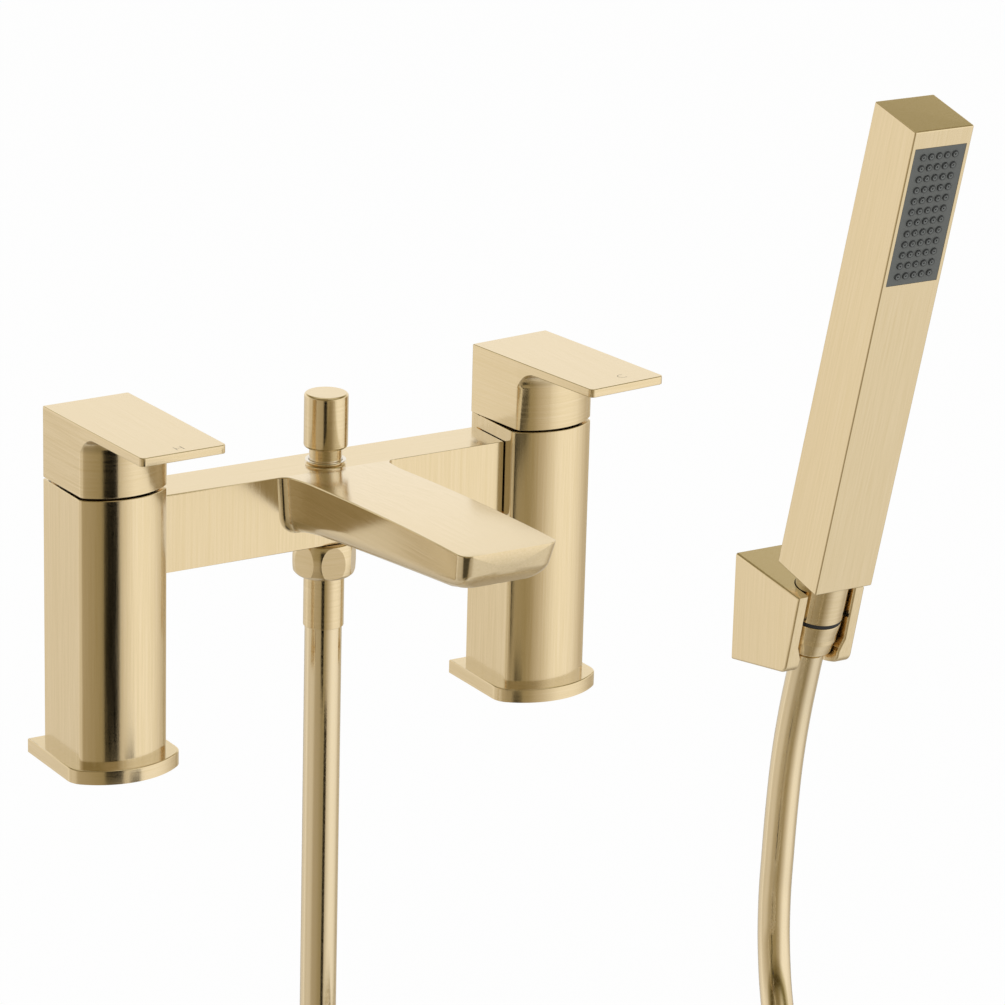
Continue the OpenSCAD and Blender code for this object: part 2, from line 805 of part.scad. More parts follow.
// Hose to the handset: along the floor, a bend, then up to the ferrule
rise_foot = [coil_end[0] + exit_run * exit_dir[0], coil_end[1] + exit_run * exit_dir[1]];
rise_points = concat(
    [for (d = [2 * hose_r, 40, 80, 120, 160]) [
        coil_end[0] + d * exit_dir[0], coil_end[1] + d * exit_dir[1], coil_low
    ]],
    [for (a = [0:22.5:90]) [
        rise_foot[0] - (bend_r - bend_r * sin(a)) * exit_dir[0],
        rise_foot[1] - (bend_r - bend_r * sin(a)) * exit_dir[1],
        coil_low + bend_r - bend_r * cos(a)
    ]],
    [[275.8, 88.2, -140], [276.8, 88.2, -118], [278.2, 87.8, -96], [279.5, 86, -76]],
    [for (s = [14, 0]) handset_foot + (ferrule_end - s) * [0, -sin(handset_tilt), cos(handset_tilt)]]
);

module hose_drop() {
    color(gold) tube(drop_points, [1, 0, 0], hose_r, 10);
}

module hose_coil() {
    color(gold) tube(coil_points, [0, 0, 1], hose_r, 6);
}

module hose_rise() {
    color(gold) tube(rise_points, [exit_dir[1], -exit_dir[0], 0], hose_r, 10);
}

function least(p, i, j) =
    j >= len(p) ? 1000 : min(norm(p[i] - p[j]) - 2 * hose_r, least(p, i, j + 1));
echo(coil_gap = min([for (i = [0:len(coil_points) - 11]) least(coil_points, i, i + 10)]));
function length(p, i = 0) = i >= len(p) - 1 ? 0 : norm(p[i + 1] - p[i]) + length(p, i + 1);
echo(hose_length = length(drop_points) + length(coil_points) + length(rise_points));

// Brass insert in the hose end. It turns freely in the conical nut.
module hose_ferrule() {
    color(brass) on_handset() difference() {
        union() {
            rod(ferrule_r, ferrule_end, cone_floor + ferrule_flange_t);
            rod(cone_end_r - 1.1, cone_floor + 0.1, cone_floor + ferrule_flange_t);
        }
        rod(hose_bore_r, ferrule_end - over, cone_floor + ferrule_flange_t + over);
    }
}

module cone_nut() {
    color(gold) on_handset() difference() {
        union() {
            translate([0, 0, cone_z]) cylinder(r1 = cone_end_r, r2 = handset_neck_r, h = cone_taper_len);
            rod(handset_neck_r, cone_z + cone_taper_len, ring_z);
        }
        rod(ferrule_r + 0.1, cone_z - over, cone_floor + over);
        rod(cone_end_r - 1, cone_floor, thread_end);
        rod(half_inch_r, thread_end, ring_z + over);
    }
}

module cone_washer() {
    color(black_rubber) on_handset()
        ring(cone_end_r - 1.1, hose_bore_r + 0.5, cone_floor + ferrule_flange_t + 0.1, thread_end - 0.05);
}

module neck_ring() {
    color(black_rubber) on_handset() ring(handset_neck_r - 0.5, neck_groove_r, ring_z, ring_z + neck_ring_t);
}

// Turned neck of the handset with the thread for the conical nut
module inlet_neck() {
    color(gold) on_handset() difference() {
        union() {
            rod(handset_neck_r, -handset_neck_len, 0);
            rod(half_inch_r - fit, thread_end, -handset_neck_len + over);
            rod(9, -over, handset_wall + 6);
        }
        rod(6, thread_end - over, handset_wall + 6 + over);
        difference() {
            rod(half_inch_r + over, ring_z, ring_z + neck_ring_t);
            rod(neck_groove_r - fit, ring_z - over, -handset_neck_len + over);
        }
    }
}

// Box centred on the handset's axis, set in from its outside
module handset_block(inset, z0, z1) {
    translate([-handset_w / 2 + inset, -handset_d / 2 + inset, z0])
        cube([handset_w - 2 * inset, handset_d - 2 * inset, z1 - z0]);
}

module handset_body() {
    color(gold) on_handset() difference() {
        handset_block(0, 0, handset_len - cap_t);
        handset_block(handset_wall, handset_wall, handset_len);
        rod(9 + fit, -over, handset_wall + over);
        translate([-spray_w / 2, -handset_d / 2 - over, spray_bottom])
            cube([spray_w, handset_wall + 2 * over, spray_len]);
    }
}

module handset_cap() {
    lip = handset_len - cap_t - cap_lip;
    color(gold) on_handset() {
        handset_block(0, handset_len - cap_t, handset_len);
        difference() {
            handset_block(handset_wall + fit, lip, handset_len - cap_t + 0.1);
            handset_block(handset_wall + 1.5, lip - over, handset_len - cap_t);
        }
    }
}

// Tray behind the spray plate, fed from below
chamber_front = -handset_d / 2 + spray_plate_t + 1.4;
chamber_d = 11;
chamber_top = handset_len - cap_t - cap_lip - 0.6;
chamber_bottom = spray_bottom - 3;
core_r = 5;

module spray_chamber() {
    half = handset_w / 2 - handset_wall - 0.3;
    color(pale_plastic) on_handset() difference() {
        translate([-half, chamber_front, chamber_bottom])
            cube([2 * half, chamber_d, chamber_top - chamber_bottom]);
        translate([-half + 1.5, chamber_front - over, chamber_bottom + 2])
            cube([2 * half - 3, chamber_d - 1.5 + over, chamber_top - chamber_bottom - 4]);
        translate([0, chamber_front + chamber_d / 2, chamber_bottom - over]) cylinder(r = 3, h = 4);
    }
}

// Plastic water tube inside the handset, from the neck to the tray
module water_core() {
    y = chamber_front + chamber_d / 2;
    color(pale_plastic) on_handset() difference() {
        union() {
            rod(8.9, handset_wall + 6, handset_wall + 12);
            translate([0, y, handset_wall + 11]) cylinder(r = core_r, h = chamber_bottom - handset_wall - 11);
        }
        translate([0, y, handset_wall + 7]) cylinder(r = 3, h = chamber_bottom);
        rod(6, handset_wall + 5, handset_wall + 8);
    }
}

module each_nozzle() {
    mid_z = (spray_top + spray_bottom) / 2;
    for (i = [0:nozzle_cols - 1], k = [0:nozzle_rows - 1])
        translate([
            (i - (nozzle_cols - 1) / 2) * nozzle_pitch_x, 0,
            mid_z + (k - (nozzle_rows - 1) / 2) * nozzle_pitch_z
        ]) rotate([90, 0, 0]) children();
}

module spray_plate() {
    front = -handset_d / 2 + 0.1;
    color(grey_plastic) on_handset() difference() {
        translate([-spray_w / 2 + fit, front, spray_bottom + fit])
            cube([spray_w - 2 * fit, spray_plate_t, spray_len - 2 * fit]);
        each_nozzle() translate([0, 0, -front - spray_plate_t - over])
            cylinder(r = nozzle_r + fit, h = spray_plate_t + 2 * over, $fn = 24);
    }
}

// Rubber mat whose nozzles stand through the holes of the spray plate
module nozzle_mat() {
    front = -handset_d / 2 + 0.1;
    back = front + spray_plate_t;
    color(black_rubber) on_handset() difference() {
        union() {
            translate([-spray_w / 2 + 0.5, back, spray_bottom + 0.5]) cube([spray_w - 1, 1.2, spray_len - 1]);
            each_nozzle() translate([0, 0, -back - 0.1])
                cylinder(r = nozzle_r, h = spray_plate_t + nozzle_proud + 0.1, $fn = 24);
        }
        each_nozzle() translate([0, 0, -back - 1.2 - over])
            cylinder(r = 0.4, h = spray_plate_t + nozzle_proud + 1.2 + 2 * over, $fn = 16);
    }
}

// Side view of the bracket: square to the wall at the back, narrower in front
module bracket_side() {
    back = wall_y;
    polygon([
        [back, bracket_top_z], [back, bracket_top_z - bracket_h],
        [back - bracket_foot_depth, bracket_top_z - bracket_h + bracket_foot_lift],
        [back - bracket_depth, bracket_top_z - bracket_nose_drop]
    ]);
}

// Slot for the neck: a stepped bore along the handset's axis, open in front
module bracket_slot() {
    wide = handset_neck_r + slot_slack;
    narrow = cone_end_r + slot_slack;
    deep = cone_z - bracket_h / 2;
    shoulder = cone_z + cone_taper_len;
    on_handset() {
        rod(wide, shoulder, 10);
        translate([0, 0, cone_z]) cylinder(r1 = narrow, r2 = wide, h = cone_taper_len);
        rod(narrow, deep, cone_z);
        rotate([90, 0, 0]) linear_extrude(40) polygon([
            [-wide, 10], [-wide, shoulder], [-narrow, cone_z], [-narrow, deep],
            [narrow, deep], [narrow, cone_z], [wide, shoulder], [wide, 10]
        ]);
    }
}

module bracket_body() {
    color(gold) difference() {
        translate([bracket_x - bracket_w / 2, 0, 0]) rotate([90, 0, 90])
            linear_extrude(bracket_w) bracket_side();
        bracket_slot();
        translate([bracket_x - plate_pocket[0] / 2, wall_y - plate_pocket[1], plate_pocket_z])
            cube([plate_pocket[0], plate_pocket[1] + over, plate_pocket[2]]);
        translate([bracket_x, bracket_screw_y, bracket_top_z - bracket_h - over])
            cylinder(r = bracket_screw_r + fit, h = plate_pocket_z - bracket_top_z + bracket_h + 2 * over);
    }
}

// Flat plate on the wall. The bracket hangs over it.
module wall_plate() {
    color(steel) translate([bracket_x, wall_y, bracket_top_z - bracket_h / 2]) difference() {
        union() {
            translate([-plate_pocket[0] / 2 + plate_slack, -wall_plate_t, -plate_pocket[2] / 2 + plate_slack])
                cube([plate_pocket[0] - 2 * plate_slack, wall_plate_t, plate_pocket[2] - 2 * plate_slack]);
            translate([-plate_tab[0] / 2, -wall_plate_t - plate_tab[1], -plate_pocket[2] / 2 + plate_slack])
                cube([plate_tab[0], plate_tab[1] + 0.1, plate_tab[2]]);
        }
        for (side = [-1, 1]) translate([0, 0, side * wall_screw_pitch / 2]) rotate([90, 0, 0]) {
            translate([0, 0, -over]) cylinder(r = wall_hole_r, h = wall_plate_t + 10);
            translate([0, 0, wall_plate_t]) cylinder(r = wall_hole_r + 2.3, h = 10);
        }
    }
}

module bracket_screw() {
    low = bracket_top_z - bracket_h + 0.8;
    color(steel) translate([bracket_x, bracket_screw_y, low]) difference() {
        cylinder(r = bracket_screw_r, h = plate_pocket_z - low);
        translate([0, 0, -over]) cylinder(r = 1.15, h = 3, $fn = 6);
    }
}

on_hot() pillar();  // hot_pillar
on_hot() flange();  // hot_flange
on_hot() base_seal();  // hot_base_seal
on_hot() valve_body();  // hot_valve_body
on_hot() seat_seal();  // hot_seat_seal
on_hot() ceramic_disc(disc_z);  // hot_fixed_disc
on_hot() ceramic_disc(moving_disc_z);  // hot_moving_disc
on_hot() spindle();  // hot_spindle
on_hot() spindle_seal();  // hot_spindle_seal
on_hot() rotate(hot_lever_set) lever();  // hot_lever
on_hot() rotate(hot_lever_set) lever_screw();  // hot_lever_screw
on_cold() pillar();  // cold_pillar
on_cold() flange();  // cold_flange
on_cold() base_seal();  // cold_base_seal
on_cold() valve_body();  // cold_valve_body
on_cold() seat_seal();  // cold_seat_seal
on_cold() ceramic_disc(disc_z);  // cold_fixed_disc
on_cold() ceramic_disc(moving_disc_z);  // cold_moving_disc
on_cold() spindle();  // cold_spindle
on_cold() spindle_seal();  // cold_spindle_seal
on_cold() rotate(-cold_lever_set) lever();  // cold_lever
on_cold() rotate(-cold_lever_set) lever_screw();  // cold_lever_screw
bridge_spout();
union_nipples();
union_seals();
diverter_knob();
diverter_stem();
diverter_bush();
diverter_neck_seal();
diverter_cage();
diverter_plunger();
diverter_plunger_seal();
diverter_spring();
aerator_shell();
aerator_insert();
shower_nipple();
check_valve();
hose_nut();
hose_sleeve();
hose_washer();
hose_drop();
hose_coil();
hose_rise();
hose_ferrule();
cone_nut();
cone_washer();
neck_ring();
inlet_neck();
handset_body();
handset_cap();
water_core();
spray_chamber();
nozzle_mat();
spray_plate();
bracket_body();
wall_plate();
bracket_screw();
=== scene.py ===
# %% [markdown]
# # A deck bath shower mixer in satin gold
# The real thing is two valve pillars on a bath's edge, joined by a bridge with a flat spout. A hose runs
# from under the bridge to a square handset in a wall bracket. The parts come ready made from the CAD
# model. Here they get their finishes, and the ones that the eye rests on are copied and get the small
# round edges that catch the light. Sizes are written in millimetres, and MM turns them to metres.

# %% Load the frame
import json
import math

import bmesh
import bpy
from mathutils import Matrix, Vector
from mathutils.geometry import interpolate_bezier


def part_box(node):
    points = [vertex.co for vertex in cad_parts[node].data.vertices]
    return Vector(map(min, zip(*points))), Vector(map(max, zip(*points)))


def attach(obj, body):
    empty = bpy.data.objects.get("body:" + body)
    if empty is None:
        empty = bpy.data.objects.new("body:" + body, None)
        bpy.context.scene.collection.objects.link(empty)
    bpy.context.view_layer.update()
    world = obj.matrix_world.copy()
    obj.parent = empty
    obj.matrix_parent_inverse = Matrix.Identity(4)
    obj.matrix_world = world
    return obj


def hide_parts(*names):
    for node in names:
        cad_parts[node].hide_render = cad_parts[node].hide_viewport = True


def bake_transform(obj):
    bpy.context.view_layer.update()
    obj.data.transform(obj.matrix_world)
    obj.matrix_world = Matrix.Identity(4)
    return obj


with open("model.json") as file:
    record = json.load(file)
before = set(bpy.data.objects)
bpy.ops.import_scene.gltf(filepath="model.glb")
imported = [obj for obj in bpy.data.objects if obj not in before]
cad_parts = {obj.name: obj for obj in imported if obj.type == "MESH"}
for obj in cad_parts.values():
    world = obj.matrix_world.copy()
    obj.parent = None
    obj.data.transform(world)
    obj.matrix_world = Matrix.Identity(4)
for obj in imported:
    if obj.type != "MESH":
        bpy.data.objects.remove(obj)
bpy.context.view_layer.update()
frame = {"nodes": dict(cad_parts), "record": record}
bpy.ops.object.select_all(action="DESELECT")
MM = 0.001

# %% [markdown]
# ## Camera
# The camera stands in front, to the left and a little above, as for the product photograph. A long lens
# keeps the upright lines nearly parallel. It could be aimed with a constraint, but three turns say the
# same and stay editable: round the upright axis, down from level, and a slight roll.

# %% Camera
CAMERA_PLACE = (-0.7926, -1.3906, 0.6149)
CAMERA_TURN, CAMERA_DIP, CAMERA_ROLL = -31.991, 18.238, 1.539
CAMERA_LENS, CAMERA_SENSOR = 163.32, 36


def shift(x, y, z):
    """A matrix that moves by so many millimetres."""
    return Matrix.Translation((x * MM, y * MM, z * MM))


def rotation(degrees, axis):
    """A matrix that turns by so many degrees round one axis."""
    return Matrix.Rotation(math.radians(degrees), 4, axis)


camera_turn = rotation(CAMERA_TURN, "Z") @ rotation(90 - CAMERA_DIP, "X") @ rotation(CAMERA_ROLL, "Z")
bpy.ops.object.camera_add(location=CAMERA_PLACE, rotation=camera_turn.to_euler())
camera = bpy.context.object
camera.name = "camera"
camera.data.lens = CAMERA_LENS
camera.data.sensor_width = CAMERA_SENSOR
camera.data.clip_start, camera.data.clip_end = 0.05, 50
bpy.context.scene.camera = camera
bpy.context.scene.view_settings.view_transform = "Standard"
print("camera looks down by", CAMERA_DIP, "degrees")

# %% [markdown]
# ## The hose
# A shower hose is one length of flexible tube, 14 mm thick and 1.5 m long. Its spare length lies in a
# loop and a half below the view. A curve with a round bevel is the plain way to make it, because its
# points are the route itself. It is made a mesh at the end.

# %% Route of the hose
HOSE_RADIUS = 7 * MM
# The coil's middle in plan, its radius at the inmost angle and how much wider a full turn lies
COIL_MID = (88, -112)
COIL_RADIUS, COIL_STEP, COIL_INMOST = 78, 14.4, 250
COIL_TURN, COIL_STEPS = 515.8, 36
# Between these angles of the coil it sinks from its upper to its lower height
COIL_HIGH, COIL_LOW, SINK_START, SINK_SPAN = -208.4, -223, 160, 180
BEND = 60
DIVERTER_Y = 2.2
DROP_HEIGHTS = (37.8, 10, -20, -50, -80, -110, -135)
LEAD_IN = (-78, -98)
# The way out of the coil in plan, how far the straight run goes, and points on it
EXIT_ANGLE = math.radians(65.8)
EXIT = (math.cos(EXIT_ANGLE), math.sin(EXIT_ANGLE))
EXIT_RUN = 259
EXIT_POINTS = (14, 40, 80, 120, 160)
RISE_POINTS = [(275.8, 88.2, -140), (276.8, 88.2, -118), (278.2, 87.8, -96), (279.5, 86, -76)]
# The handset stands on its foot and leans forward, and the hose ends on its axis
FOOT = Vector((280, 70.2, -8.1)) * MM
HANDSET_TILT = 13.8
HANDSET = Matrix.Translation(FOOT) @ rotation(HANDSET_TILT, "X")
CONE_POINTS = (-52, -38)


def coil_point(angle):
    """The point of the coil at an angle in degrees from its start."""
    radius = COIL_RADIUS + COIL_STEP * abs(angle - COIL_INMOST) / 360
    share = min(1, max(0, (angle - SINK_START) / SINK_SPAN))
    share = share * share * (3 - 2 * share)
    turn = math.radians(angle)
    return (
        COIL_MID[0] - radius * math.cos(turn),
        COIL_MID[1] - radius * math.sin(turn),
        COIL_HIGH + (COIL_LOW - COIL_HIGH) * share,
    )


quarter = [math.radians(a) for a in (0, 22.5, 45, 67.5, 90)]
coil_end = coil_point(COIL_TURN)
rise_foot = [coil_end[i] + EXIT_RUN * EXIT[i] for i in (0, 1)]
route = [(0, DIVERTER_Y, z) for z in DROP_HEIGHTS]
for a in quarter:
    route.append((0, DIVERTER_Y - BEND + BEND * math.cos(a), COIL_HIGH + BEND - BEND * math.sin(a)))
route += [(0, y, COIL_HIGH) for y in LEAD_IN]
route += [coil_point(COIL_TURN * i / COIL_STEPS) for i in range(COIL_STEPS + 1)]
route += [(coil_end[0] + d * EXIT[0], coil_end[1] + d * EXIT[1], COIL_LOW) for d in EXIT_POINTS]
for a in quarter:
    short = BEND - BEND * math.sin(a)
    rise = COIL_LOW + BEND - BEND * math.cos(a)
    route.append((rise_foot[0] - short * EXIT[0], rise_foot[1] - short * EXIT[1], rise))
route += RISE_POINTS
route = [Vector(p) * MM for p in route] + [HANDSET @ Vector((0, 0, s * MM)) for s in CONE_POINTS]
print("hose points", len(route))

# %% Hose as a curve, then a mesh
SPAN_STEPS = 8
bpy.ops.curve.primitive_bezier_curve_add()
hose = bpy.context.object
hose.name = "hose"
spline = hose.data.splines[0]
spline.bezier_points.add(len(route) - len(spline.bezier_points))
for bead, place in zip(spline.bezier_points, route):
    bead.co = place
    bead.handle_left_type = bead.handle_right_type = "AUTO"
hose.data.dimensions = "3D"
hose.data.resolution_u = SPAN_STEPS
hose.data.bevel_depth = HOSE_RADIUS
hose.data.bevel_resolution = 6
hose.data.use_fill_caps = True
bpy.context.view_layer.update()
hose_path = []
for a, b in zip(spline.bezier_points, spline.bezier_points[1:]):
    hose_path += interpolate_bezier(a.co, a.handle_right, b.handle_left, b.co, SPAN_STEPS + 1)[:-1]
hose_path.append(route[-1].copy())
bpy.ops.object.convert(target="MESH")
bpy.ops.object.shade_smooth()
measured = sum((b - a).length for a, b in zip(hose_path, hose_path[1:]))
print("hose length in mm", round(measured / MM), "faces", len(hose.data.polygons))

# %% [markdown]
# ## Colours and nodes
# A colour is written as it looks on a screen, and one function turns it to the linear numbers that the
# render needs. Another adds a node with its settings and links, so each finish reads as a short recipe.
# An input is given by its name, or by its place where a node has several of one name.

# %% Small helpers for finishes
# A Mix node has a number, a vector and a colour under one name. These are the places of its colours.
COLOUR_A, COLOUR_B, COLOUR_OUT = 6, 7, 2
WHITE = (1, 1, 1, 1)


def linear(hex_colour, alpha=1.0):
    """sRGB hex such as "#d9bf8f" as linear RGBA."""
    parts = [int(hex_colour[i : i + 2], 16) / 255 for i in (1, 3, 5)]
    return [c / 12.92 if c <= 0.04045 else ((c + 0.055) / 1.055) ** 2.4 for c in parts] + [alpha]


def add_node(tree, kind, inputs=(), stops=None, **settings):
    """Adds a node with its settings and inputs, and gives the node. A socket as input is linked."""
    made = tree.nodes.new(kind)
    for key, value in settings.items():
        setattr(made, key, value)
    for key, value in dict(inputs).items():
        if isinstance(value, bpy.types.NodeSocket):
            tree.links.new(value, made.inputs[key])
        else:
            made.inputs[key].default_value = value
    if stops:
        ramp = made.color_ramp
        while len(ramp.elements) < len(stops):
            ramp.elements.new(0.5)
        for element, (place, colour) in zip(ramp.elements, stops):
            element.position = place
            element.color = colour
    return made


def empty_material(name):
    """A material without nodes, for paper and cards that need no usual shader."""
    made = bpy.data.materials.new(name)
    made.use_nodes = True
    made.node_tree.nodes.clear()
    return made


# %% [markdown]
# ## Studio
# Polished and brushed metal has hardly a colour of its own: what the eye reads is the room. Here the
# room is a soft white studio that darkens towards the camera and overhead. It could be built from many
# cards and lamps, but a world that is shaded by direction gives the same soft steps without noise. Two
# rows give its brightness all round, and a third how it fades upwards.

# %% Brightness of the room by direction
# Compass angle from the front towards the left, in degrees, and the brightness just below eye level
ROUND_LOW = (
    (-180, 0.66), (-150, 0.64), (-120, 0.54), (-100, 0.48), (-91, 0.60), (-83, 0.72), (-75, 0.84),
    (-67, 0.92), (-55, 0.98), (-35, 0.98), (-27, 0.92), (-19, 0.80), (-11, 0.67), (-3, 0.54),
    (6, 0.43), (14, 0.30), (22, 0.27), (30, 0.28), (40, 0.32), (50, 0.36), (62, 0.38), (74, 0.40),
    (86, 0.60), (105, 0.66), (122, 0.60), (132, 0.74), (138, 0.86), (144, 0.88), (149, 0.63),
    (155, 0.78), (166, 0.70), (180, 0.62),
)
# The same just above eye level
ROUND_HIGH = (
    (-180, 0.92), (-165, 0.97), (-150, 1.00), (-125, 0.93), (-105, 0.78), (-85, 0.85), (-65, 0.98),
    (-30, 0.98), (-15, 0.75), (0, 0.38), (25, 0.24), (60, 0.26), (90, 0.42), (120, 0.62),
    (140, 0.88), (180, 0.92),
)
# Sine of the angle above eye level, and the share of that light that is left there
UPWARDS = (
    (0.0, 1.0), (0.34, 1.0), (0.45, 0.64), (0.56, 0.47), (0.63, 0.20), (0.74, 0.20), (0.84, 0.62),
    (1.0, 0.85),
)
# Powers of that share for red, green and blue, so that it is warmer as it fades
FADE_POWERS = (1, 1.1, 1.6)
# Sines between which the lower row gives way to the upper one
ROWS_MEET = (-0.33, -0.06)
# Sines between which the room darkens towards the floor, and what is left of it
FLOOR_FADE, FLOOR_SHARE = (-0.31, -0.80), 0.72
# Between two gold faces light turns orange with each bounce, so what a second bounce meets is cooler.
# In a world the first reflection counts as depth 2.
SECOND_BOUNCE, COOLER = 2.5, (0.95, 1.10, 1.50)
MATT_ROOM = (0.86, 0.86, 0.86, 1)


def room_tone(light):
    """Colour of the room at a brightness. Its dim parts are browner."""
    warm = 0.07 * min(1, (1 - light) / 0.5) * min(1, light / 0.15)
    return (light + warm, light + 0.3 * warm, light - 0.12 * (1 - light), 1)


# %% World
world = bpy.data.worlds.new("studio")
bpy.context.scene.world = world
world.use_nodes = True
sky = world.node_tree
sky.nodes.clear()
way = add_node(sky, "ShaderNodeTexCoord")
axes = add_node(sky, "ShaderNodeSeparateXYZ", {"Vector": way.outputs["Generated"]})
left = add_node(sky, "ShaderNodeMath", {0: axes.outputs["X"], 1: -1.0}, operation="MULTIPLY")
front = add_node(sky, "ShaderNodeMath", {0: axes.outputs["Y"], 1: -1.0}, operation="MULTIPLY")
compass = add_node(sky, "ShaderNodeMath", {0: left.outputs[0], 1: front.outputs[0]}, operation="ARCTAN2")
turn = add_node(
    sky, "ShaderNodeMapRange", {"Value": compass.outputs[0], "From Min": -math.pi, "From Max": math.pi}
)
low_room, high_room = [
    add_node(
        sky,
        "ShaderNodeValToRGB",
        {"Fac": turn.outputs[0]},
        stops=[((angle + 180) / 360, room_tone(light)) for angle, light in rows],
    )
    for rows in (ROUND_LOW, ROUND_HIGH)
]
ebb = add_node(
    sky,
    "ShaderNodeMapRange",
    {"Value": axes.outputs["Z"], "From Min": FLOOR_FADE[0], "From Max": FLOOR_FADE[1],
     "To Min": 1.0, "To Max": FLOOR_SHARE},
)
below = add_node(
    sky, "ShaderNodeVectorMath", {0: low_room.outputs[0], "Scale": ebb.outputs[0]}, operation="SCALE"
)
above = add_node(
    sky,
    "ShaderNodeMapRange",
    {"Value": axes.outputs["Z"], "From Min": ROWS_MEET[0], "From Max": ROWS_MEET[1]},
    interpolation_type="SMOOTHSTEP",
)
middle = add_node(
    sky,
    "ShaderNodeMix",
    {0: above.outputs[0], COLOUR_A: below.outputs[0], COLOUR_B: high_room.outputs[0]},
    data_type="RGBA",
)
aloft = add_node(
    sky,
    "ShaderNodeValToRGB",
    {"Fac": axes.outputs["Z"]},
    stops=[(sine, [share**power for power in FADE_POWERS] + [1]) for sine, share in UPWARDS],
)
room = add_node(
    sky, "ShaderNodeVectorMath", {0: middle.outputs[COLOUR_OUT], 1: aloft.outputs[0]}, operation="MULTIPLY"
)
print("stops all round", len(ROUND_LOW), len(ROUND_HIGH))

# %% What each kind of ray sees of the world
ray = add_node(sky, "ShaderNodeLightPath")
second = add_node(
    sky, "ShaderNodeMath", {0: ray.outputs["Ray Depth"], 1: SECOND_BOUNCE}, operation="GREATER_THAN"
)
cooler = add_node(sky, "ShaderNodeVectorMath", {0: room.outputs[0], 1: COOLER}, operation="MULTIPLY")
matt_ray = add_node(
    sky, "ShaderNodeMath", {0: 1.0, 1: ray.outputs["Is Glossy Ray"]}, operation="SUBTRACT"
)
seen = room.outputs[0]
for share, other in (
    (second.outputs[0], cooler.outputs[0]),
    (matt_ray.outputs[0], MATT_ROOM),
    (ray.outputs["Is Camera Ray"], WHITE),
):
    mixed = add_node(sky, "ShaderNodeMix", {0: share, COLOUR_A: seen, COLOUR_B: other}, data_type="RGBA")
    seen = mixed.outputs[COLOUR_OUT]
background = add_node(sky, "ShaderNodeBackground", {"Color": seen, "Strength": 1.0})
add_node(sky, "ShaderNodeOutputWorld", {"Surface": background.outputs[0]})

# %% [markdown]
# ## Floor, dark cards and lamp
# The floor is a sweep of white paper, almost white to the camera, with a trace of the object's shadow.
# Three dark cards stand in front, seen in reflections alone. They could be part of the world, but
# a near card shows at different places on the two pillars, as in the photograph. A large lamp adds the
# little light that has a direction.

# %% Floor
FLOOR_Z = -0.2302
FLOOR_SIZE, FLOOR_GLOW = 14, 0.94
bpy.ops.mesh.primitive_plane_add(size=FLOOR_SIZE, location=(0, 0, FLOOR_Z))
floor = bpy.context.object
floor.name = "floor"
floor.visible_glossy = False
paper = empty_material("white paper sweep")
tree = paper.node_tree
ray = add_node(tree, "ShaderNodeLightPath")
matt = add_node(tree, "ShaderNodeBsdfDiffuse", {"Color": linear("#f4f4f2")})
glow = add_node(tree, "ShaderNodeEmission", {"Color": WHITE, "Strength": 1.0})
held = add_node(
    tree, "ShaderNodeMath", {0: ray.outputs["Is Camera Ray"], 1: FLOOR_GLOW}, operation="MULTIPLY"
)
both = add_node(tree, "ShaderNodeMixShader", {0: held.outputs[0], 1: matt.outputs[0], 2: glow.outputs[0]})
add_node(tree, "ShaderNodeOutputMaterial", {"Surface": both.outputs[0]})
floor.data.materials.append(paper)

# %% Dark cards
# Each card's middle, width, height, turn in degrees and colour. The last one turns its edge to the hot
# lever, so that only the knob shows it.
CARDS = (
    ((-0.120, -0.175, 0.0175), 0.077, 0.165, 0, "#0c0a06"),
    ((-0.025, -0.175, -0.1790), 0.054, 0.242, 0, "#2c2920"),
    ((-0.025, -0.175, 0.0600), 0.090, 0.044, 112.8, "#4a463b"),
)
# Seen by way of two gold faces they are grey. On a surface the first reflection counts as depth 1.
CARD_GREY, CARD_SECOND = "#97958c", 1.5
for place, wide, high, card_turn, colour in CARDS:
    upright = (math.radians(90), 0, math.radians(card_turn))
    bpy.ops.mesh.primitive_plane_add(size=1, location=place, rotation=upright)
    card = bpy.context.object
    card.name = "dark_card"
    card.scale = (wide, high, 1)
    card.visible_camera = card.visible_diffuse = False
    card.visible_shadow = card.visible_transmission = False
    black = empty_material("dark card")
    tree = black.node_tree
    ray = add_node(tree, "ShaderNodeLightPath")
    second = add_node(
        tree, "ShaderNodeMath", {0: ray.outputs["Ray Depth"], 1: CARD_SECOND}, operation="GREATER_THAN"
    )
    shade = add_node(
        tree,
        "ShaderNodeMix",
        {0: second.outputs[0], COLOUR_A: linear(colour), COLOUR_B: linear(CARD_GREY)},
        data_type="RGBA",
    )
    dull = add_node(tree, "ShaderNodeEmission", {"Color": shade.outputs[COLOUR_OUT], "Strength": 1.0})
    add_node(tree, "ShaderNodeOutputMaterial", {"Surface": dull.outputs[0]})
    card.data.materials.append(black)

# %% Lamp
LAMP_PLACE, LAMP_AIM = Vector((-1.0, -1.2, 1.5)), Vector((0.05, 0, 0.05))
LAMP_SIZE, LAMP_POWER = 1.4, 9
bpy.ops.object.light_add(type="AREA", location=LAMP_PLACE)
lamp = bpy.context.object
lamp.name = "softbox"
lamp.data.size = LAMP_SIZE
lamp.data.energy = LAMP_POWER
lamp.rotation_euler = (LAMP_PLACE - LAMP_AIM).to_track_quat("Z", "Y").to_euler()
lamp.visible_glossy = False
print("studio ready")

# %% [markdown]
# ## Satin gold
# The mixer is brass with a champagne gold coating, made by vapour deposition over a brushed surface. So
# it is a metal, with a pale warm colour, and the brush leaves fine parallel lines. At about 0.1 mm they
# are too fine to show, so they are drawn 0.4 mm apart. A stretched noise makes them, and moves the
# colour, the roughness and the bump. The brush runs a different way on each face, so the finish is made
# in several directions.

# %% Start and end of a finish


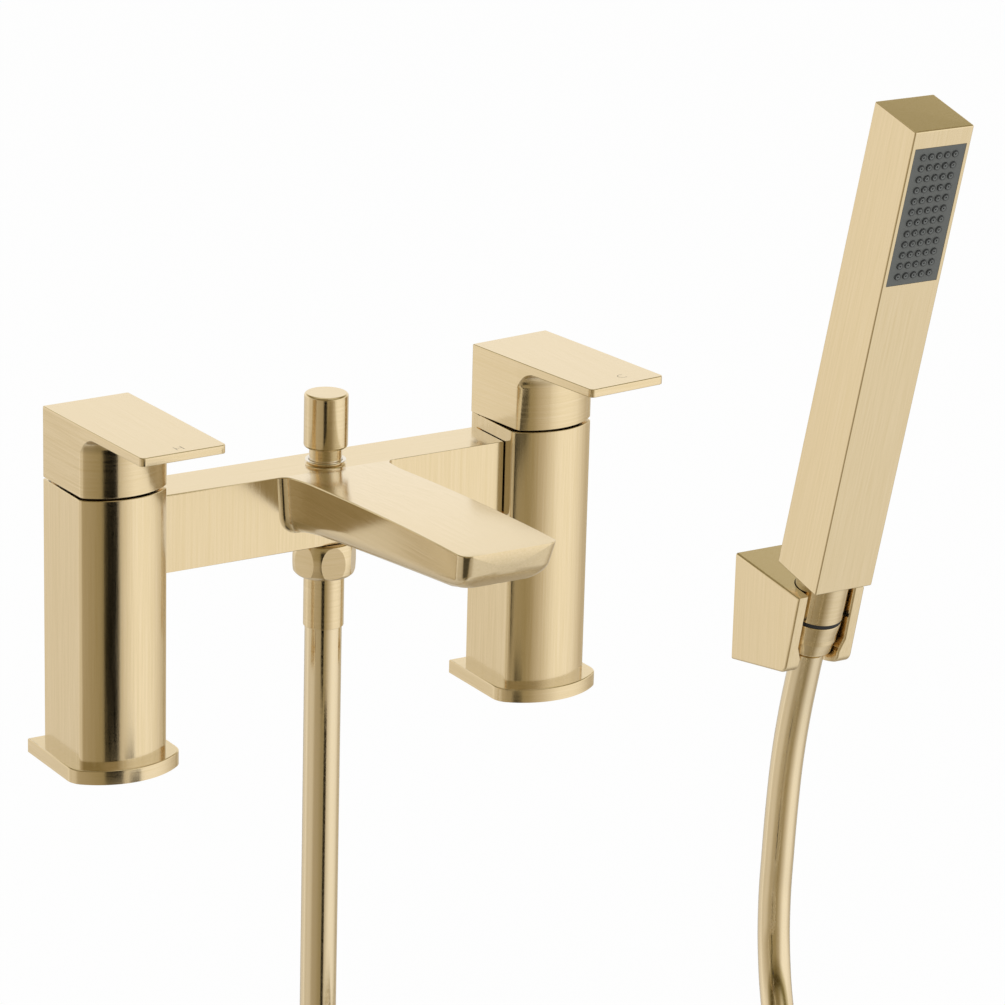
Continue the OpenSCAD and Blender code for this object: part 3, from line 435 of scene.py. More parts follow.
def start_finish(name):
    """A new material, its node tree, and the place on the piece that its patterns read."""
    made = bpy.data.materials.new(name)
    made.use_nodes = True
    return made, made.node_tree, add_node(made.node_tree, "ShaderNodeTexCoord").outputs["Object"]


def link_finish(made, colour, rough, bump, metallic):
    """Links a finish to its shader. metallic is the same all over, so it is set on the socket."""
    shader = made.node_tree.nodes["Principled BSDF"]
    for key, socket in (("Base Color", colour), ("Roughness", rough), ("Normal", bump)):
        made.node_tree.links.new(socket, shader.inputs[key])
    shader.inputs["Metallic"].default_value = metallic
    return made


# %% Satin gold in each brushing direction
GOLD, GOLD_DEEP = "#f4dfb7", "#ecd6aa"
BRUSH_PITCH, BRUSH_STRETCH, BRUSH_DEPTH = 0.4 * MM, 50, 0.04 * MM
CLOUD_SIZE = 25 * MM
SATIN = 0.15


def satin_gold(name, along, tilt=0.0):
    """Brushed gold whose lines run along the axes named in along, such as "z", leant by tilt degrees."""
    made, tree, place = start_finish(name)
    scale = [1 / BRUSH_STRETCH if axis in along else 1.0 for axis in "xyz"]
    upright = add_node(
        tree, "ShaderNodeMapping", {"Vector": place, "Rotation": (-math.radians(tilt), 0, 0)}
    )
    stretched = add_node(tree, "ShaderNodeMapping", {"Vector": upright.outputs[0], "Scale": scale})
    lines = add_node(
        tree,
        "ShaderNodeTexNoise",
        {"Vector": stretched.outputs[0], "Scale": 0.5 / BRUSH_PITCH, "Detail": 4.0, "Roughness": 0.7},
    )
    clouds = add_node(
        tree, "ShaderNodeTexNoise", {"Vector": place, "Scale": 1 / CLOUD_SIZE, "Detail": 2.0}
    )
    sharp = add_node(
        tree, "ShaderNodeMapRange", {"Value": lines.outputs["Fac"], "From Min": 0.34, "From Max": 0.66}
    )
    tone = add_node(
        tree,
        "ShaderNodeMix",
        {0: sharp.outputs[0], COLOUR_A: linear(GOLD_DEEP), COLOUR_B: linear(GOLD)},
        data_type="RGBA",
    )
    worn = add_node(
        tree,
        "ShaderNodeMapRange",
        {"Value": lines.outputs["Fac"], "From Min": 0.3, "From Max": 0.7,
         "To Min": SATIN - 0.03, "To Max": SATIN + 0.05},
    )
    cloudy = add_node(tree, "ShaderNodeMath", {0: clouds.outputs["Fac"], 1: 0.02}, operation="MULTIPLY")
    total = add_node(tree, "ShaderNodeMath", {0: worn.outputs[0], 1: cloudy.outputs[0]}, operation="ADD")
    bump = add_node(
        tree, "ShaderNodeBump", {"Strength": 0.16, "Distance": BRUSH_DEPTH, "Height": lines.outputs["Fac"]}
    )
    return link_finish(made, tone.outputs[COLOUR_OUT], total.outputs[0], bump.outputs[0], 1.0)


gold_upright = satin_gold("satin gold, brushed upright", "z")
gold_level = satin_gold("satin gold, brushed level", "xy")
gold_forward = satin_gold("satin gold, brushed front to back", "y")
gold_across = satin_gold("satin gold, brushed side to side", "x")
gold_handset = satin_gold("satin gold, brushed along the handset", "z", tilt=HANDSET_TILT)
gold_turned = satin_gold("satin gold, turned", "xy")

# %% [markdown]
# ## The other finishes
# Rubber, ceramic, plastic, brass and steel are mostly hidden, but show from below or when a lever is
# off. Each has its real base colour, and a fine noise that keeps the light from lying too evenly on it.
# The grain is drawn at 0.3 to 2 mm, coarser than the real one, so that it shows.

# %% One recipe for the plain finishes


def plain_finish(name, colour, second, rough, metallic=0.0, grain=2.0, depth=0.02):
    """A mottled colour with a bumpy grain. grain is its size and depth its height, in millimetres."""
    made, tree, place = start_finish(name)
    mottle = add_node(
        tree, "ShaderNodeTexNoise", {"Vector": place, "Scale": 1 / (grain * MM), "Detail": 3.0}
    )
    tone = add_node(
        tree,
        "ShaderNodeMix",
        {0: mottle.outputs["Fac"], COLOUR_A: linear(colour), COLOUR_B: linear(second)},
        data_type="RGBA",
    )
    worn = add_node(
        tree,
        "ShaderNodeMapRange",
        {"Value": mottle.outputs["Fac"], "From Min": 0.3, "From Max": 0.7,
         "To Min": rough - 0.04, "To Max": rough + 0.06},
    )
    bump = add_node(
        tree, "ShaderNodeBump", {"Strength": 0.15, "Distance": depth * MM, "Height": mottle.outputs["Fac"]}
    )
    return link_finish(made, tone.outputs[COLOUR_OUT], worn.outputs[0], bump.outputs[0], metallic)


# %% Finish for each material slot
FINISH = {
    "satin_gold": gold_upright,
    # A metal foil under clear plastic: long soft highlights, hardly any grain
    "gold_hose": plain_finish(
        "metallised PVC hose", "#f0dcb4", "#f3e1be", 0.14, metallic=1.0, grain=1.5, depth=0.003
    ),
    # Bare brass from the lathe is browner and duller than the coating
    "brass": plain_finish("machined brass", "#b8975a", "#c9a869", 0.3, metallic=1.0, grain=0.8),
    # Ground discs are chalk white with a faint gloss
    "ceramic": plain_finish("ground alumina ceramic", "#f0eee8", "#e8e4da", 0.25),
    # Seals are dull and nearly black, and the nozzles softer and greyer
    "black_rubber": plain_finish("black EPDM rubber", "#1f1f21", "#2a2a2c", 0.6, grain=0.5),
    "grey_rubber": plain_finish("grey silicone rubber", "#3a3b3b", "#444545", 0.5, grain=0.4),
    # A fine spark-eroded mould gives the plate its even half gloss
    "grey_plastic": plain_finish("grey moulded ABS", "#5c5e5b", "#636562", 0.38, grain=0.6),
    # Acetal is milky, with a waxy gloss
    "pale_plastic": plain_finish("natural acetal plastic", "#dededa", "#d2d2cc", 0.45, grain=0.8),
    # Screws and springs are cooler and greyer than all the rest
    "steel": plain_finish("stainless steel", "#a9abae", "#b8babd", 0.3, metallic=1.0, grain=0.6),
}
slot_of = {row["node"]: row["material_slot"] for row in frame["record"]["subparts"]}
for node_name, node in frame["nodes"].items():
    node.data.materials.clear()
    node.data.materials.append(FINISH[slot_of[node_name]])
print("slots", sorted(set(slot_of.values())), "nodes with a slot", len(slot_of))

# %% [markdown]
# ## Copying a casting
# A CAD solid has knife edges, and a real edge is a few tenths of a millimetre round. A copy of the solid
# is merged, freed of its needless edges and bevelled along the edges that show. The edges are picked in
# code by where they lie and how sharply the faces fold there.

# %% Helpers for a bevelled copy
MERGE_GAP = 0.002 * MM
FLAT_ANGLE = math.radians(0.4)


def only(piece):
    """Select this piece alone, because an operator works on all that is selected."""
    bpy.ops.object.select_all(action="DESELECT")
    piece.select_set(True)
    bpy.context.view_layer.objects.active = piece


def new_piece(name, mesh):
    """A piece from a mesh, left in edit mode with its near points merged and all of it selected."""
    piece = bpy.data.objects.new(name, mesh)
    bpy.context.scene.collection.objects.link(piece)
    only(piece)
    bpy.ops.object.mode_set(mode="EDIT")
    bpy.ops.mesh.select_all(action="SELECT")
    bpy.ops.mesh.remove_doubles(threshold=MERGE_GAP)
    return piece


def from_cad(node_name, name):
    """A new piece with a clean copy of a CAD node's mesh."""
    mesh = frame["nodes"][node_name].data.copy()
    mesh.materials.clear()
    piece = new_piece(name, mesh)
    bpy.ops.mesh.customdata_custom_splitnormals_clear()
    bpy.ops.mesh.dissolve_limited(angle_limit=FLAT_ANGLE)
    bpy.ops.object.mode_set(mode="OBJECT")
    return piece


def round_edges(piece, wanted, width, segments=3):
    """Bevel by width, in millimetres, the edges for which wanted(middle, fold in degrees, way) holds."""
    only(piece)
    bpy.ops.object.mode_set(mode="EDIT")
    bpy.ops.mesh.select_mode(type="EDGE")
    bpy.ops.mesh.select_all(action="DESELECT")
    shape = bmesh.from_edit_mesh(piece.data)
    count = 0
    for edge in shape.edges:
        if not edge.is_manifold:
            continue
        fold = math.degrees(edge.calc_face_angle_signed(0))
        ends = [v.co / MM for v in edge.verts]
        if wanted((ends[0] + ends[1]) / 2, fold, (ends[1] - ends[0]).normalized()):
            edge.select_set(True)
            count += 1
    bmesh.update_edit_mesh(piece.data)
    if count:
        bpy.ops.mesh.bevel(offset=width * MM, segments=segments, affect="EDGES", clamp_overlap=False)
    bpy.ops.object.mode_set(mode="OBJECT")
    print(piece.name, "edges rounded", count)


def share_faces(piece, base, *others):
    """The base finish, and others as (finish, wanted), for faces where wanted(normal, centre) holds."""
    piece.data.materials.clear()
    for finish in (base, *[other[0] for other in others]):
        piece.data.materials.append(finish)
    for face in piece.data.polygons:
        face.material_index = 0
        for index, (_, wanted) in enumerate(others, 1):
            if wanted(face.normal, face.center / MM):
                face.material_index = index


def dress(piece, finish, body, *replaced, slot="satin_gold", angle=32):
    """Smooth shading, a finish where the piece has none, and the piece's place in the frame."""
    only(piece)
    bpy.ops.object.shade_smooth_by_angle(angle=math.radians(angle))
    even = piece.modifiers.new("even normals", "WEIGHTED_NORMAL")
    even.keep_sharp = True
    bpy.ops.object.modifier_apply(modifier=even.name)
    if not piece.data.materials:
        piece.data.materials.append(finish)
    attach(piece, body)
    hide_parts(*replaced)


# %% [markdown]
# ## Rings of points
# The levers, the spout and the turned pieces have forms that no one operator gives. They are built as
# rings of points, joined by bands of four-sided faces, so each rounding is where its ring says.

# %% Helpers for rings
# The inner radius of a ring that stands for a rod
AXIS = 0.01


def skin(name, rings, closed=False):
    """A piece from rings of points in millimetres. closed joins last and first, else both get a lid."""
    count = len(rings[0])
    bands = len(rings) if closed else len(rings) - 1
    faces = []
    for i in range(bands):
        here, there = i * count, (i + 1) % len(rings) * count
        for k in range(count):
            after = (k + 1) % count
            faces.append((here + k, here + after, there + after, there + k))
    if not closed:
        faces += [tuple(range(count)), tuple(range((len(rings) - 1) * count, len(rings) * count))]
    mesh = bpy.data.meshes.new(name)
    mesh.from_pydata([Vector(p) * MM for ring in rings for p in ring], [], faces)
    piece = new_piece(name, mesh)
    bpy.ops.mesh.normals_make_consistent(inside=False)
    bpy.ops.object.mode_set(mode="OBJECT")
    return piece


def turned(name, outline, steps=64):
    """A piece turned round the upright axis, from a closed outline of (radius, height)."""
    rings = []
    for step in range(steps):
        angle = 2 * math.pi * step / steps
        rings.append([(r * math.cos(angle), r * math.sin(angle), z) for r, z in outline])
    return skin(name, rings, closed=True)


def tube(name, inner, outer, low, high, steps):
    """A turned ring between two radii and two heights, in so many steps round."""
    return turned(name, [(inner, low), (outer, low), (outer, high), (inner, high)], steps)


def join(piece, *others):
    """Others become part of the piece."""
    only(piece)
    for other in others:
        other.select_set(True)
    bpy.ops.object.join()


def combine(piece, other, how):
    """A boolean of two closed pieces. The second is used up."""
    only(piece)
    change = piece.modifiers.new("shape", "BOOLEAN")
    change.operation = how
    change.solver = "EXACT"
    change.object = other
    bpy.ops.object.modifier_apply(modifier=change.name)
    bpy.data.objects.remove(other)


# %% [markdown]
# ## Pillars and flanges
# Each pillar is a tall casting with flat sides and a bowed front, over a flange that hides the hole in
# the bath. Only the rims show as edges, so those are rounded.

# %% Pillars and flanges
SIDES = ((-1, "hot"), (1, "cold"))
PILLAR_X, PILLAR_TOP, FLANGE_TOP = 90, 106.2, 5.4
PILLAR_BORE, FLANGE_BORE = 14, 18


def on_rim(level, bore, side):
    """A test for the sharp edges at one height, further from the pillar's axis than its bore."""
    axis = Vector((side * PILLAR_X, 0))

    def wanted(p, fold, way):
        return abs(p.z - level) < 0.02 and fold > 40 and (Vector(p[:2]) - axis).length > bore

    return wanted


def faces_up(normal, centre):
    return normal.z > 0.9


for side, label in SIDES:
    pillar = from_cad(f"{label}_pillar", f"{label}_pillar_satin")
    round_edges(pillar, on_rim(PILLAR_TOP, PILLAR_BORE, side), 0.35)
    dress(pillar, gold_upright, "root", f"{label}_pillar")
    flange = from_cad(f"{label}_flange", f"{label}_flange_satin")
    round_edges(flange, on_rim(FLANGE_TOP, FLANGE_BORE, side), 0.5)
    share_faces(flange, gold_level, (gold_across, faces_up))
    dress(flange, gold_level, "root", f"{label}_flange")

# %% [markdown]
# ## Levers
# A lever is a hollow skirt that continues the pillar, and a thin flat plate that grows from its top. A
# cove of 7 mm runs round the skirt's bow under the plate, and dies out in the flat sides as an arch. No
# bevel gives that. So each point of the plate's outline is paired with the nearest point of the skirt,
# and a column of points climbs from one to the other: up the skirt, along the cove, round the lip and up
# to the top.

# %% Plan of the skirt and outline of the plate
LEVER_TOP, LEVER_BOTTOM, LEVER_REACH, TIP_HALF, TIP_R = 133.7, 107.0, 53.8, 17.1, 1.9
SKIRT_HALF, SKIRT_BACK, NOSE_R, CORNER_R, SKIRT_WALL, COVE_R = 17.5, 17.9, 25.9, 3.0, 2.4, 7.0
BACK_ROUND = 0.6
TIP_POINTS = (0, 3, 6, 9, 12, 14.5)
# Ahead of the skirt's corner, closer together where the cove dies out
SIDE_POINTS = (34, 26, 20, 16, 13, 10.7, 8.7, 7, 5.6, 4.5, 3.6, 2.9, 2.3, 1.8, 1.35, 0.95, 0.6, 0.3)
nose = Vector((0, NOSE_R - SKIRT_BACK))
corner = Vector((SKIRT_HALF - CORNER_R, 0))
corner.y = nose.y - math.sqrt((NOSE_R - CORNER_R) ** 2 - corner.x**2)
to_corner = (corner - nose).normalized()


def on_skirt(p):
    """The skirt's nearest point in plan for a point in front of it, and the way out of the skirt there."""
    if (p - nose).normalized().y < to_corner.y:
        way = (p - nose).normalized()
        return nose + way * NOSE_R, way
    middle = Vector((math.copysign(corner.x, p.x), corner.y))
    way = (p - middle).normalized()
    return middle + way * CORNER_R, way


def plate_outline():
    """Points round the plate and the way out at each, from the tip's middle to the right and round."""
    rows = [(Vector((x, -LEVER_REACH)), Vector((0, -1))) for x in TIP_POINTS]
    for turn in range(0, 91, 15):
        way = Vector((math.sin(math.radians(turn)), -math.cos(math.radians(turn))))
        rows.append((Vector((TIP_HALF - TIP_R, TIP_R - LEVER_REACH)) + way * TIP_R, way))
    slope = (SKIRT_HALF - TIP_HALF) / (LEVER_REACH - TIP_R + corner.y)
    side_way = Vector((1, -slope)).normalized()
    rows += [(Vector((SKIRT_HALF - slope * ahead, corner.y - ahead)), side_way) for ahead in SIDE_POINTS]
    rows += [(Vector((SKIRT_HALF, y)), Vector((1, 0))) for y in (corner.y, 0, SKIRT_BACK - BACK_ROUND)]
    nook = 0.3 * BACK_ROUND
    rows.append((Vector((SKIRT_HALF - nook, SKIRT_BACK - nook)), Vector((1, 1)).normalized()))
    rows += [(Vector((x, SKIRT_BACK)), Vector((0, 1))) for x in (SKIRT_HALF - BACK_ROUND, 8, 0)]
    mirrored = [(Vector((-p.x, p.y)), Vector((-way.x, way.y))) for p, way in reversed(rows[1:-1])]
    return rows + mirrored


# %% Columns of the lever's skin
# The plate's underside falls a little from the tip towards the skirt
UNDERSIDE, UNDERSIDE_FALL, FALL_RUN = 130.5, 0.1, 34.7
COVE_STEPS, ROOF_DROP, FOOT_EDGE, PLATE_EDGE = 6, 4.3, 0.25, 0.35
# The lip between cove and side is whole further than LIP_FAR from the skirt, and less by LIP_LOSS nearer
# than LIP_NEAR
LIP, LIP_LOSS, LIP_FAR, LIP_NEAR = 0.35, 0.13, 9, 4


def underside(y):
    return UNDERSIDE - UNDERSIDE_FALL * min(1, max(0, (y + LEVER_REACH) / FALL_RUN))


def column(p, out):
    """One column of the lever's skin, from the roof inside it down, round the foot and up to the top."""
    lip, apart, foot, way = 0.0, 0.0, p, out
    if p.y < corner.y - 0.01:
        apart = (p - on_skirt(p)[0]).length
        near = min(1, max(0, (LIP_FAR - apart) / (LIP_FAR - LIP_NEAR)))
        lip = min(LIP - LIP_LOSS * near, 0.5 * apart)
        foot, way = on_skirt(p - out * lip)
    inset = p - out * lip
    run = (inset - foot).length
    sweep = math.acos(1 - min(1, run / COVE_R))
    inside = foot - way * SKIRT_WALL
    made = [(inside, LEVER_TOP - ROOF_DROP), (inside, LEVER_BOTTOM)]
    made += [(foot - way * FOOT_EDGE, LEVER_BOTTOM), (foot, LEVER_BOTTOM + FOOT_EDGE)]
    made.append((foot, underside(p.y) - COVE_R))
    for step in range(1, COVE_STEPS + 1):
        turn = sweep * step / COVE_STEPS
        share = COVE_R * (1 - math.cos(turn)) / run if run > 0.001 else 0
        here = foot + (inset - foot) * share
        made.append((here, underside(here.y) - COVE_R * (1 - math.sin(turn))))
    low = made[-1][1] if run < COVE_R else underside(inset.y)
    short = max(0, COVE_R - apart)
    outer = underside(p.y) - COVE_R + math.sqrt(COVE_R**2 - short**2)
    for share in (0, 0.33, 0.67, 1):
        there = inset.lerp(p, 1 - (1 - share) ** 2)
        height = (1 - share) ** 2 * low + 2 * share * (1 - share) * outer + share**2 * (outer + lip)
        made.append((there, height))
    made += [(p, LEVER_TOP - PLATE_EDGE), (p - out * 0.3 * PLATE_EDGE, LEVER_TOP - 0.3 * PLATE_EDGE)]
    made.append((p - out * PLATE_EDGE, LEVER_TOP))
    return [(*at, z) for at, z in made]


print("points in a column", len(column(*plate_outline()[0])))

# %% [markdown]
# ## Marks on the levers
# A small letter near each lever's tip, burnt in by a laser, tells hot from cold. A text object gives it,
# made a mesh and laid a hair above the plate.

# %% Marks on the levers
LEVER_SET = {"hot": 2, "cold": 6}
MARKS = {"hot": ("H", 0.3, -49.4), "cold": ("C", 3.3, -46.0)}
MARK_SIZE, MARK_THIN, MARK_LIFT = 5.6, -0.18, 0.012
engraved = plain_finish("laser mark in the gold", "#4f4a3e", "#5d5748", 0.5, grain=0.3)


def place_lever(piece, side, label):
    """Turn a lever's piece to where it is set, and move it over its pillar."""
    piece.data.transform(shift(side * PILLAR_X, 0, 0) @ rotation(LEVER_SET[label], "Z"))


def add_mark(side, label):
    """Lays a lever's letter on its plate."""
    letter, x, y = MARKS[label]
    bpy.ops.object.select_all(action="DESELECT")
    bpy.ops.object.text_add()
    mark = bpy.context.object
    mark.name = f"{label}_mark"
    mark.data.body = letter
    mark.data.align_x, mark.data.align_y = "CENTER", "CENTER"
    mark.data.size, mark.data.offset = MARK_SIZE * MM, MARK_THIN * MM
    bpy.ops.object.convert(target="MESH")
    mark.data.transform(shift(x, y, LEVER_TOP + MARK_LIFT))
    place_lever(mark, side, label)
    mark.data.materials.append(engraved)
    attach(mark, f"{label}_lever")
    print(mark.name, "faces", len(mark.data.polygons))


# %% Levers
# The boss takes the spindle, and the tunnel leads the grub screw from the hole in the back to it
SPINDLE_R, BOSS_R, BOSS_LOW, BOSS_HIGH = 4.05, 7.5, 112.5, 129.6
SCREW_R, TUNNEL_R, TUNNEL_START, TUNNEL_END = 2.05, 3.8, 6.6, 15.4
HOLE_Y, HOLE_HALF = 17, 3


def lever_copy(name):
    """A lever round the upright axis, from its columns."""
    columns = [column(p, out) for p, out in plate_outline()]
    return skin(name, [list(ring) for ring in zip(*columns)])


for side, label in SIDES:
    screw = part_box(f"{label}_lever_screw")
    screw_z = (screw[0][2] + screw[1][2]) / 2 / MM
    lever = lever_copy(f"{label}_lever_satin")
    hole = tube("hole", AXIS, SCREW_R, -HOLE_HALF, HOLE_HALF, 24)
    hole.data.transform(shift(0, HOLE_Y, screw_z) @ rotation(90, "X"))
    combine(lever, hole, "DIFFERENCE")
    boss = tube("boss", SPINDLE_R, BOSS_R, BOSS_LOW, BOSS_HIGH, 32)
    tunnel = tube("tunnel", SCREW_R, TUNNEL_R, TUNNEL_START, TUNNEL_END, 24)
    tunnel.data.transform(shift(0, 0, screw_z) @ rotation(-90, "X"))
    join(lever, boss, tunnel)
    share_faces(lever, gold_level, (gold_forward, faces_up))
    place_lever(lever, side, label)
    dress(lever, gold_level, f"{label}_lever", f"{label}_lever", angle=50)
    add_mark(side, label)

# %% [markdown]
# ## Bridge and spout
# Bridge and spout are one casting: a straight bar, and a flat spout with a rounded belly that grows out
# of its front. The bar comes from the CAD copy, cut off at its front face. The spout is a skin of
# cross-sections, because its tip is rounded in plan and its face leans back towards its foot.

# %% Cross-sections of the spout
BAR_FRONT, BAR_TOP = -6.0, 101.0
SPOUT_REACH, SPOUT_HALF, SPOUT_DEEP, SPOUT_CORNER, SPOUT_EDGE = 129, 19.7, 22.5, 4.5, 0.5
# The top rises quickly at first and the belly evenly: by how much, and with what power of the way
TOP_RISE, TOP_POWER, BELLY_RISE, BELLY_POWER = 5.8, 1.7, 13.7, 0.9
BELLY_R, BELLY_LOSS, BELLY_INSET = 8.0, 1.8, 1
# At its root the spout is wider over a short run, and meets the bar in a fillet
ROOT_FLARE, ROOT_RUN, FILLET_R = 2.1, 16, 3.0
TIP_LEAN, TIP_LIFT = 7.0, 0.4


def section(y, inset=0.0, lean=0.0, lift=0.0, drop=0.0, shrink=1.0):
    """Points round the spout at y, from the middle of the belly to the right and round."""
    share = max(0, (BAR_FRONT - y) / (SPOUT_REACH + BAR_FRONT))
    ahead = max(0, BAR_FRONT - y)
    flare = ROOT_FLARE * max(0, 1 - ahead / ROOT_RUN) ** 2
    if ahead < FILLET_R:
        flare += FILLET_R - math.sqrt(FILLET_R**2 - (FILLET_R - ahead) ** 2)
    half = SPOUT_HALF + flare - inset
    top = BAR_TOP + TOP_RISE * (1 - (1 - share) ** TOP_POWER) - drop
    low = BAR_TOP - SPOUT_DEEP + BELLY_RISE * share**BELLY_POWER + lift
    belly = BELLY_R - BELLY_LOSS * share
    flat = half - BELLY_INSET - belly
    right = [(0, low), (0.5 * flat, low)]
    for turn in range(-90, 1, 10):
        a = math.radians(turn)
        right.append((flat + belly * math.cos(a), low + belly * (1 + math.sin(a))))
    right += [(half, top - SPOUT_EDGE), (half - 0.3 * SPOUT_EDGE, top - 0.3 * SPOUT_EDGE)]
    right += [(half - SPOUT_EDGE, top), (0.5 * half, top), (0, top)]
    around = right + [(-x, z) for x, z in reversed(right[1:-1])]
    middle = (top + low) / 2
    around = [(x * shrink, middle + (z - middle) * shrink) for x, z in around]
    return [(x, y + lean * ((top - z) / (top - low)) ** 2, z) for x, z in around]


# %% Rings from the root to the tip
# The end that is let into the bar is a little narrower and flatter than the root
LET_IN, NARROWER, FLATTER, LET_IN_MID = 3, 0.98, 0.9, 86
ROOT_STEPS = (-0.02, 0, 0.15, 0.5, 1, 1.6, 2.3, 3, 5, 8, 12, 16)
tail = section(BAR_FRONT + LET_IN)
rings = [[(x * NARROWER, y, LET_IN_MID + (z - LET_IN_MID) * FLATTER) for x, y, z in tail]]
rings += [section(BAR_FRONT - t) for t in ROOT_STEPS]
rings += [section(y) for y in (*range(-30, -105, -8), -110, -113.5)]
for turn in (0, 12, 24, 36, 48, 60, 70, 80, 90):
    a = math.radians(turn)
    ring_y = -SPOUT_REACH + SPOUT_CORNER * (1 - math.sin(a))
    bow = 1 - math.cos(a)
    drop = SPOUT_EDGE if turn == 90 else 0.0
    rings.append(section(ring_y, SPOUT_CORNER * bow, TIP_LEAN, TIP_LIFT * bow, drop))
for shrink in (0.8, 0.6, 0.4, 0.2):
    rings.append(section(-SPOUT_REACH, SPOUT_CORNER, TIP_LEAN, TIP_LIFT, SPOUT_EDGE, shrink))
print("spout rings", len(rings))

# %% Casting
OUTLET_Y, OUTLET_R, OUTLET_LOW, OUTLET_HIGH = -109, 9.25, 80, 99.5
casting = from_cad("bridge_spout", "bridge_spout_satin")


def add_block(name, low, high):
    """A box between two corners, in millimetres, with its place in the mesh."""
    low, high = Vector(low) * MM, Vector(high) * MM
    bpy.ops.object.select_all(action="DESELECT")
    bpy.ops.mesh.primitive_cube_add(size=1, location=(low + high) / 2, scale=high - low)
    piece = bpy.context.object
    piece.name = name
    bpy.ops.object.transform_apply(location=True, rotation=True, scale=True)
    return piece


# The cut lies a hair behind the front face, so that nothing of the CAD spout is left
combine(casting, add_block("front half", (-100, -200, 50), (100, BAR_FRONT + 0.005, 140)), "DIFFERENCE")
combine(casting, skin("spout", rings), "UNION")
outlet = tube("outlet", AXIS, OUTLET_R, OUTLET_LOW, OUTLET_HIGH, 64)
outlet.data.transform(shift(0, OUTLET_Y, 0))
combine(casting, outlet, "DIFFERENCE")


def from_diverter(p):
    """How far a point lies from the diverter's upright axis."""
    return math.hypot(p.x, p.y - DIVERTER_Y)


def on_bar(p, fold, way):
    """The bar's long outer edges, but not its bores, nor the top edge that runs on into the spout."""
    if fold < 60 or p.y < BAR_FRONT - 0.05 or from_diverter(p) < 13:
        return False
    if p.z > BAR_TOP - 0.5 and p.y < 0 and abs(p.x) < 24:
        return False
    return abs(way.x) > 0.99


round_edges(casting, on_bar, 0.6)
share_faces(
    casting,
    gold_upright,
    (gold_across, lambda n, c: n.z > 0.7 and c.y > BAR_FRONT),
    (gold_forward, lambda n, c: c.y < BAR_FRONT - 0.2),
)
dress(casting, gold_upright, "root", "bridge_spout", angle=50)

# %% [markdown]
# ## Diverter
# A pull-up knob sends the water to the shower. Its neck slides in a screwed bush, of which only a bright
# polished ring shows. That ring is too fine for the CAD solid, so the bush is turned from an outline.

# %% Diverter knob and its ring
KNOB_LOW, KNOB_R, BUSH_BORE = 107, 7, 4.05
knob = from_cad("diverter_knob", "diverter_knob_satin")
round_edges(knob, lambda p, fold, way: fold > 25 and p.z > KNOB_LOW and from_diverter(p) > KNOB_R, 0.35)
dress(knob, gold_turned, "diverter", "diverter_knob")
bush_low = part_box("diverter_bush")[0][2] / MM
polished = plain_finish("polished pale rim", "#f3ead8", "#efe4cf", 0.12, metallic=1.0, depth=0.003)
RIM_OUTLINE = [
    (6.2, bush_low + 2), (6.2, 102.3), (6.5, 102.6), (7.5, 102.6), (7.6, 102.45), (7.5, 102.3),
    (6.5, 102.2), (6.5, 101.5), (7.5, 101.3), (7.7, 101.0), (7.1, 100.9), (7.1, bush_low),
    (BUSH_BORE, bush_low), (BUSH_BORE, bush_low + 2),
]
RING_LOW, RING_BORE = 102.15, 6.3
rim = turned("diverter_rim_satin", RIM_OUTLINE)
share_faces(
    rim, gold_turned, (polished, lambda n, c: c.z > RING_LOW and math.hypot(c.x, c.y) > RING_BORE)
)
rim.data.transform(shift(0, DIVERTER_Y, 0))
dress(rim, gold_turned, "root", "diverter_bush")

# %% [markdown]
# ## Diverter spring
# The plunger squeezes a wire spring against the bush as it rises. A rigid spring would be run through.
# A smooth shaded copy of it takes the CAD spring's place, and it is not blended, so it stays rigid.

# %% Diverter spring
spring = from_cad("diverter_spring", "diverter_spring_wire")
spring.data.materials.append(FINISH[slot_of["diverter_spring"]])
only(spring)
bpy.ops.object.shade_smooth_by_angle(angle=math.radians(70))
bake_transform(spring)
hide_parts("diverter_spring")

# %% [markdown]
# ## Hose nut and sleeve
# The nut under the bridge is hexagonal, with bowed flats and a chamfered foot. It could be bevelled, but
# a turned barrel crossed with a six-sided block gives both forms at once.

# %% Hose nut and sleeve
NUT_LOW, NUT_TOP, NUT_FLATS, NUT_TURN = 57.9, 71.1, 22.2, -11.2
BARREL_R, BARREL_MID, BARREL_PROUD = 26, 64.25, 0.95
BARREL_HEIGHTS = (59.6, 61, 62.5, 64.25, 66, 67.5, 69, 70.4)
SLEEVE_LOW, SLEEVE_BORE = 38, 7.2
barrel = [
    (NUT_FLATS / 2 + BARREL_PROUD - (BARREL_R - math.sqrt(BARREL_R**2 - (z - BARREL_MID) ** 2)), z)
    for z in BARREL_HEIGHTS
]
nut_foot = [(7.75, 58.6), (7.75, NUT_LOW), (9.4, NUT_LOW), (10.3, 58.2), (11.0, 58.8)]
nut_head = [(11.0, NUT_TOP), (10.5, NUT_TOP), (10.5, 58.6)]
nut = turned("hose_nut_satin", nut_foot + barrel + nut_head, 96)
hexagon = tube("hexagon", AXIS, NUT_FLATS / 2 / math.cos(math.pi / 6), 50, 80, 6)
hexagon.data.transform(rotation(NUT_TURN, "Z"))
combine(nut, hexagon, "INTERSECT")
nut.data.transform(shift(0, DIVERTER_Y, 0))
dress(nut, gold_turned, "root", "hose_nut", angle=12)
sleeve = from_cad("hose_sleeve", "hose_sleeve_satin")
round_edges(
    sleeve, lambda p, fold, way: fold > 40 and p.z < SLEEVE_LOW and from_diverter(p) > SLEEVE_BORE, 0.25
)
dress(sleeve, gold_turned, "root", "hose_sleeve")

# %% [markdown]
# ## Handset
# The handset is a square tube with a closed top, brushed along its length. The window for the spray
# plate is cut by bisecting the block and pushing one face in, which keeps it one closed shape.

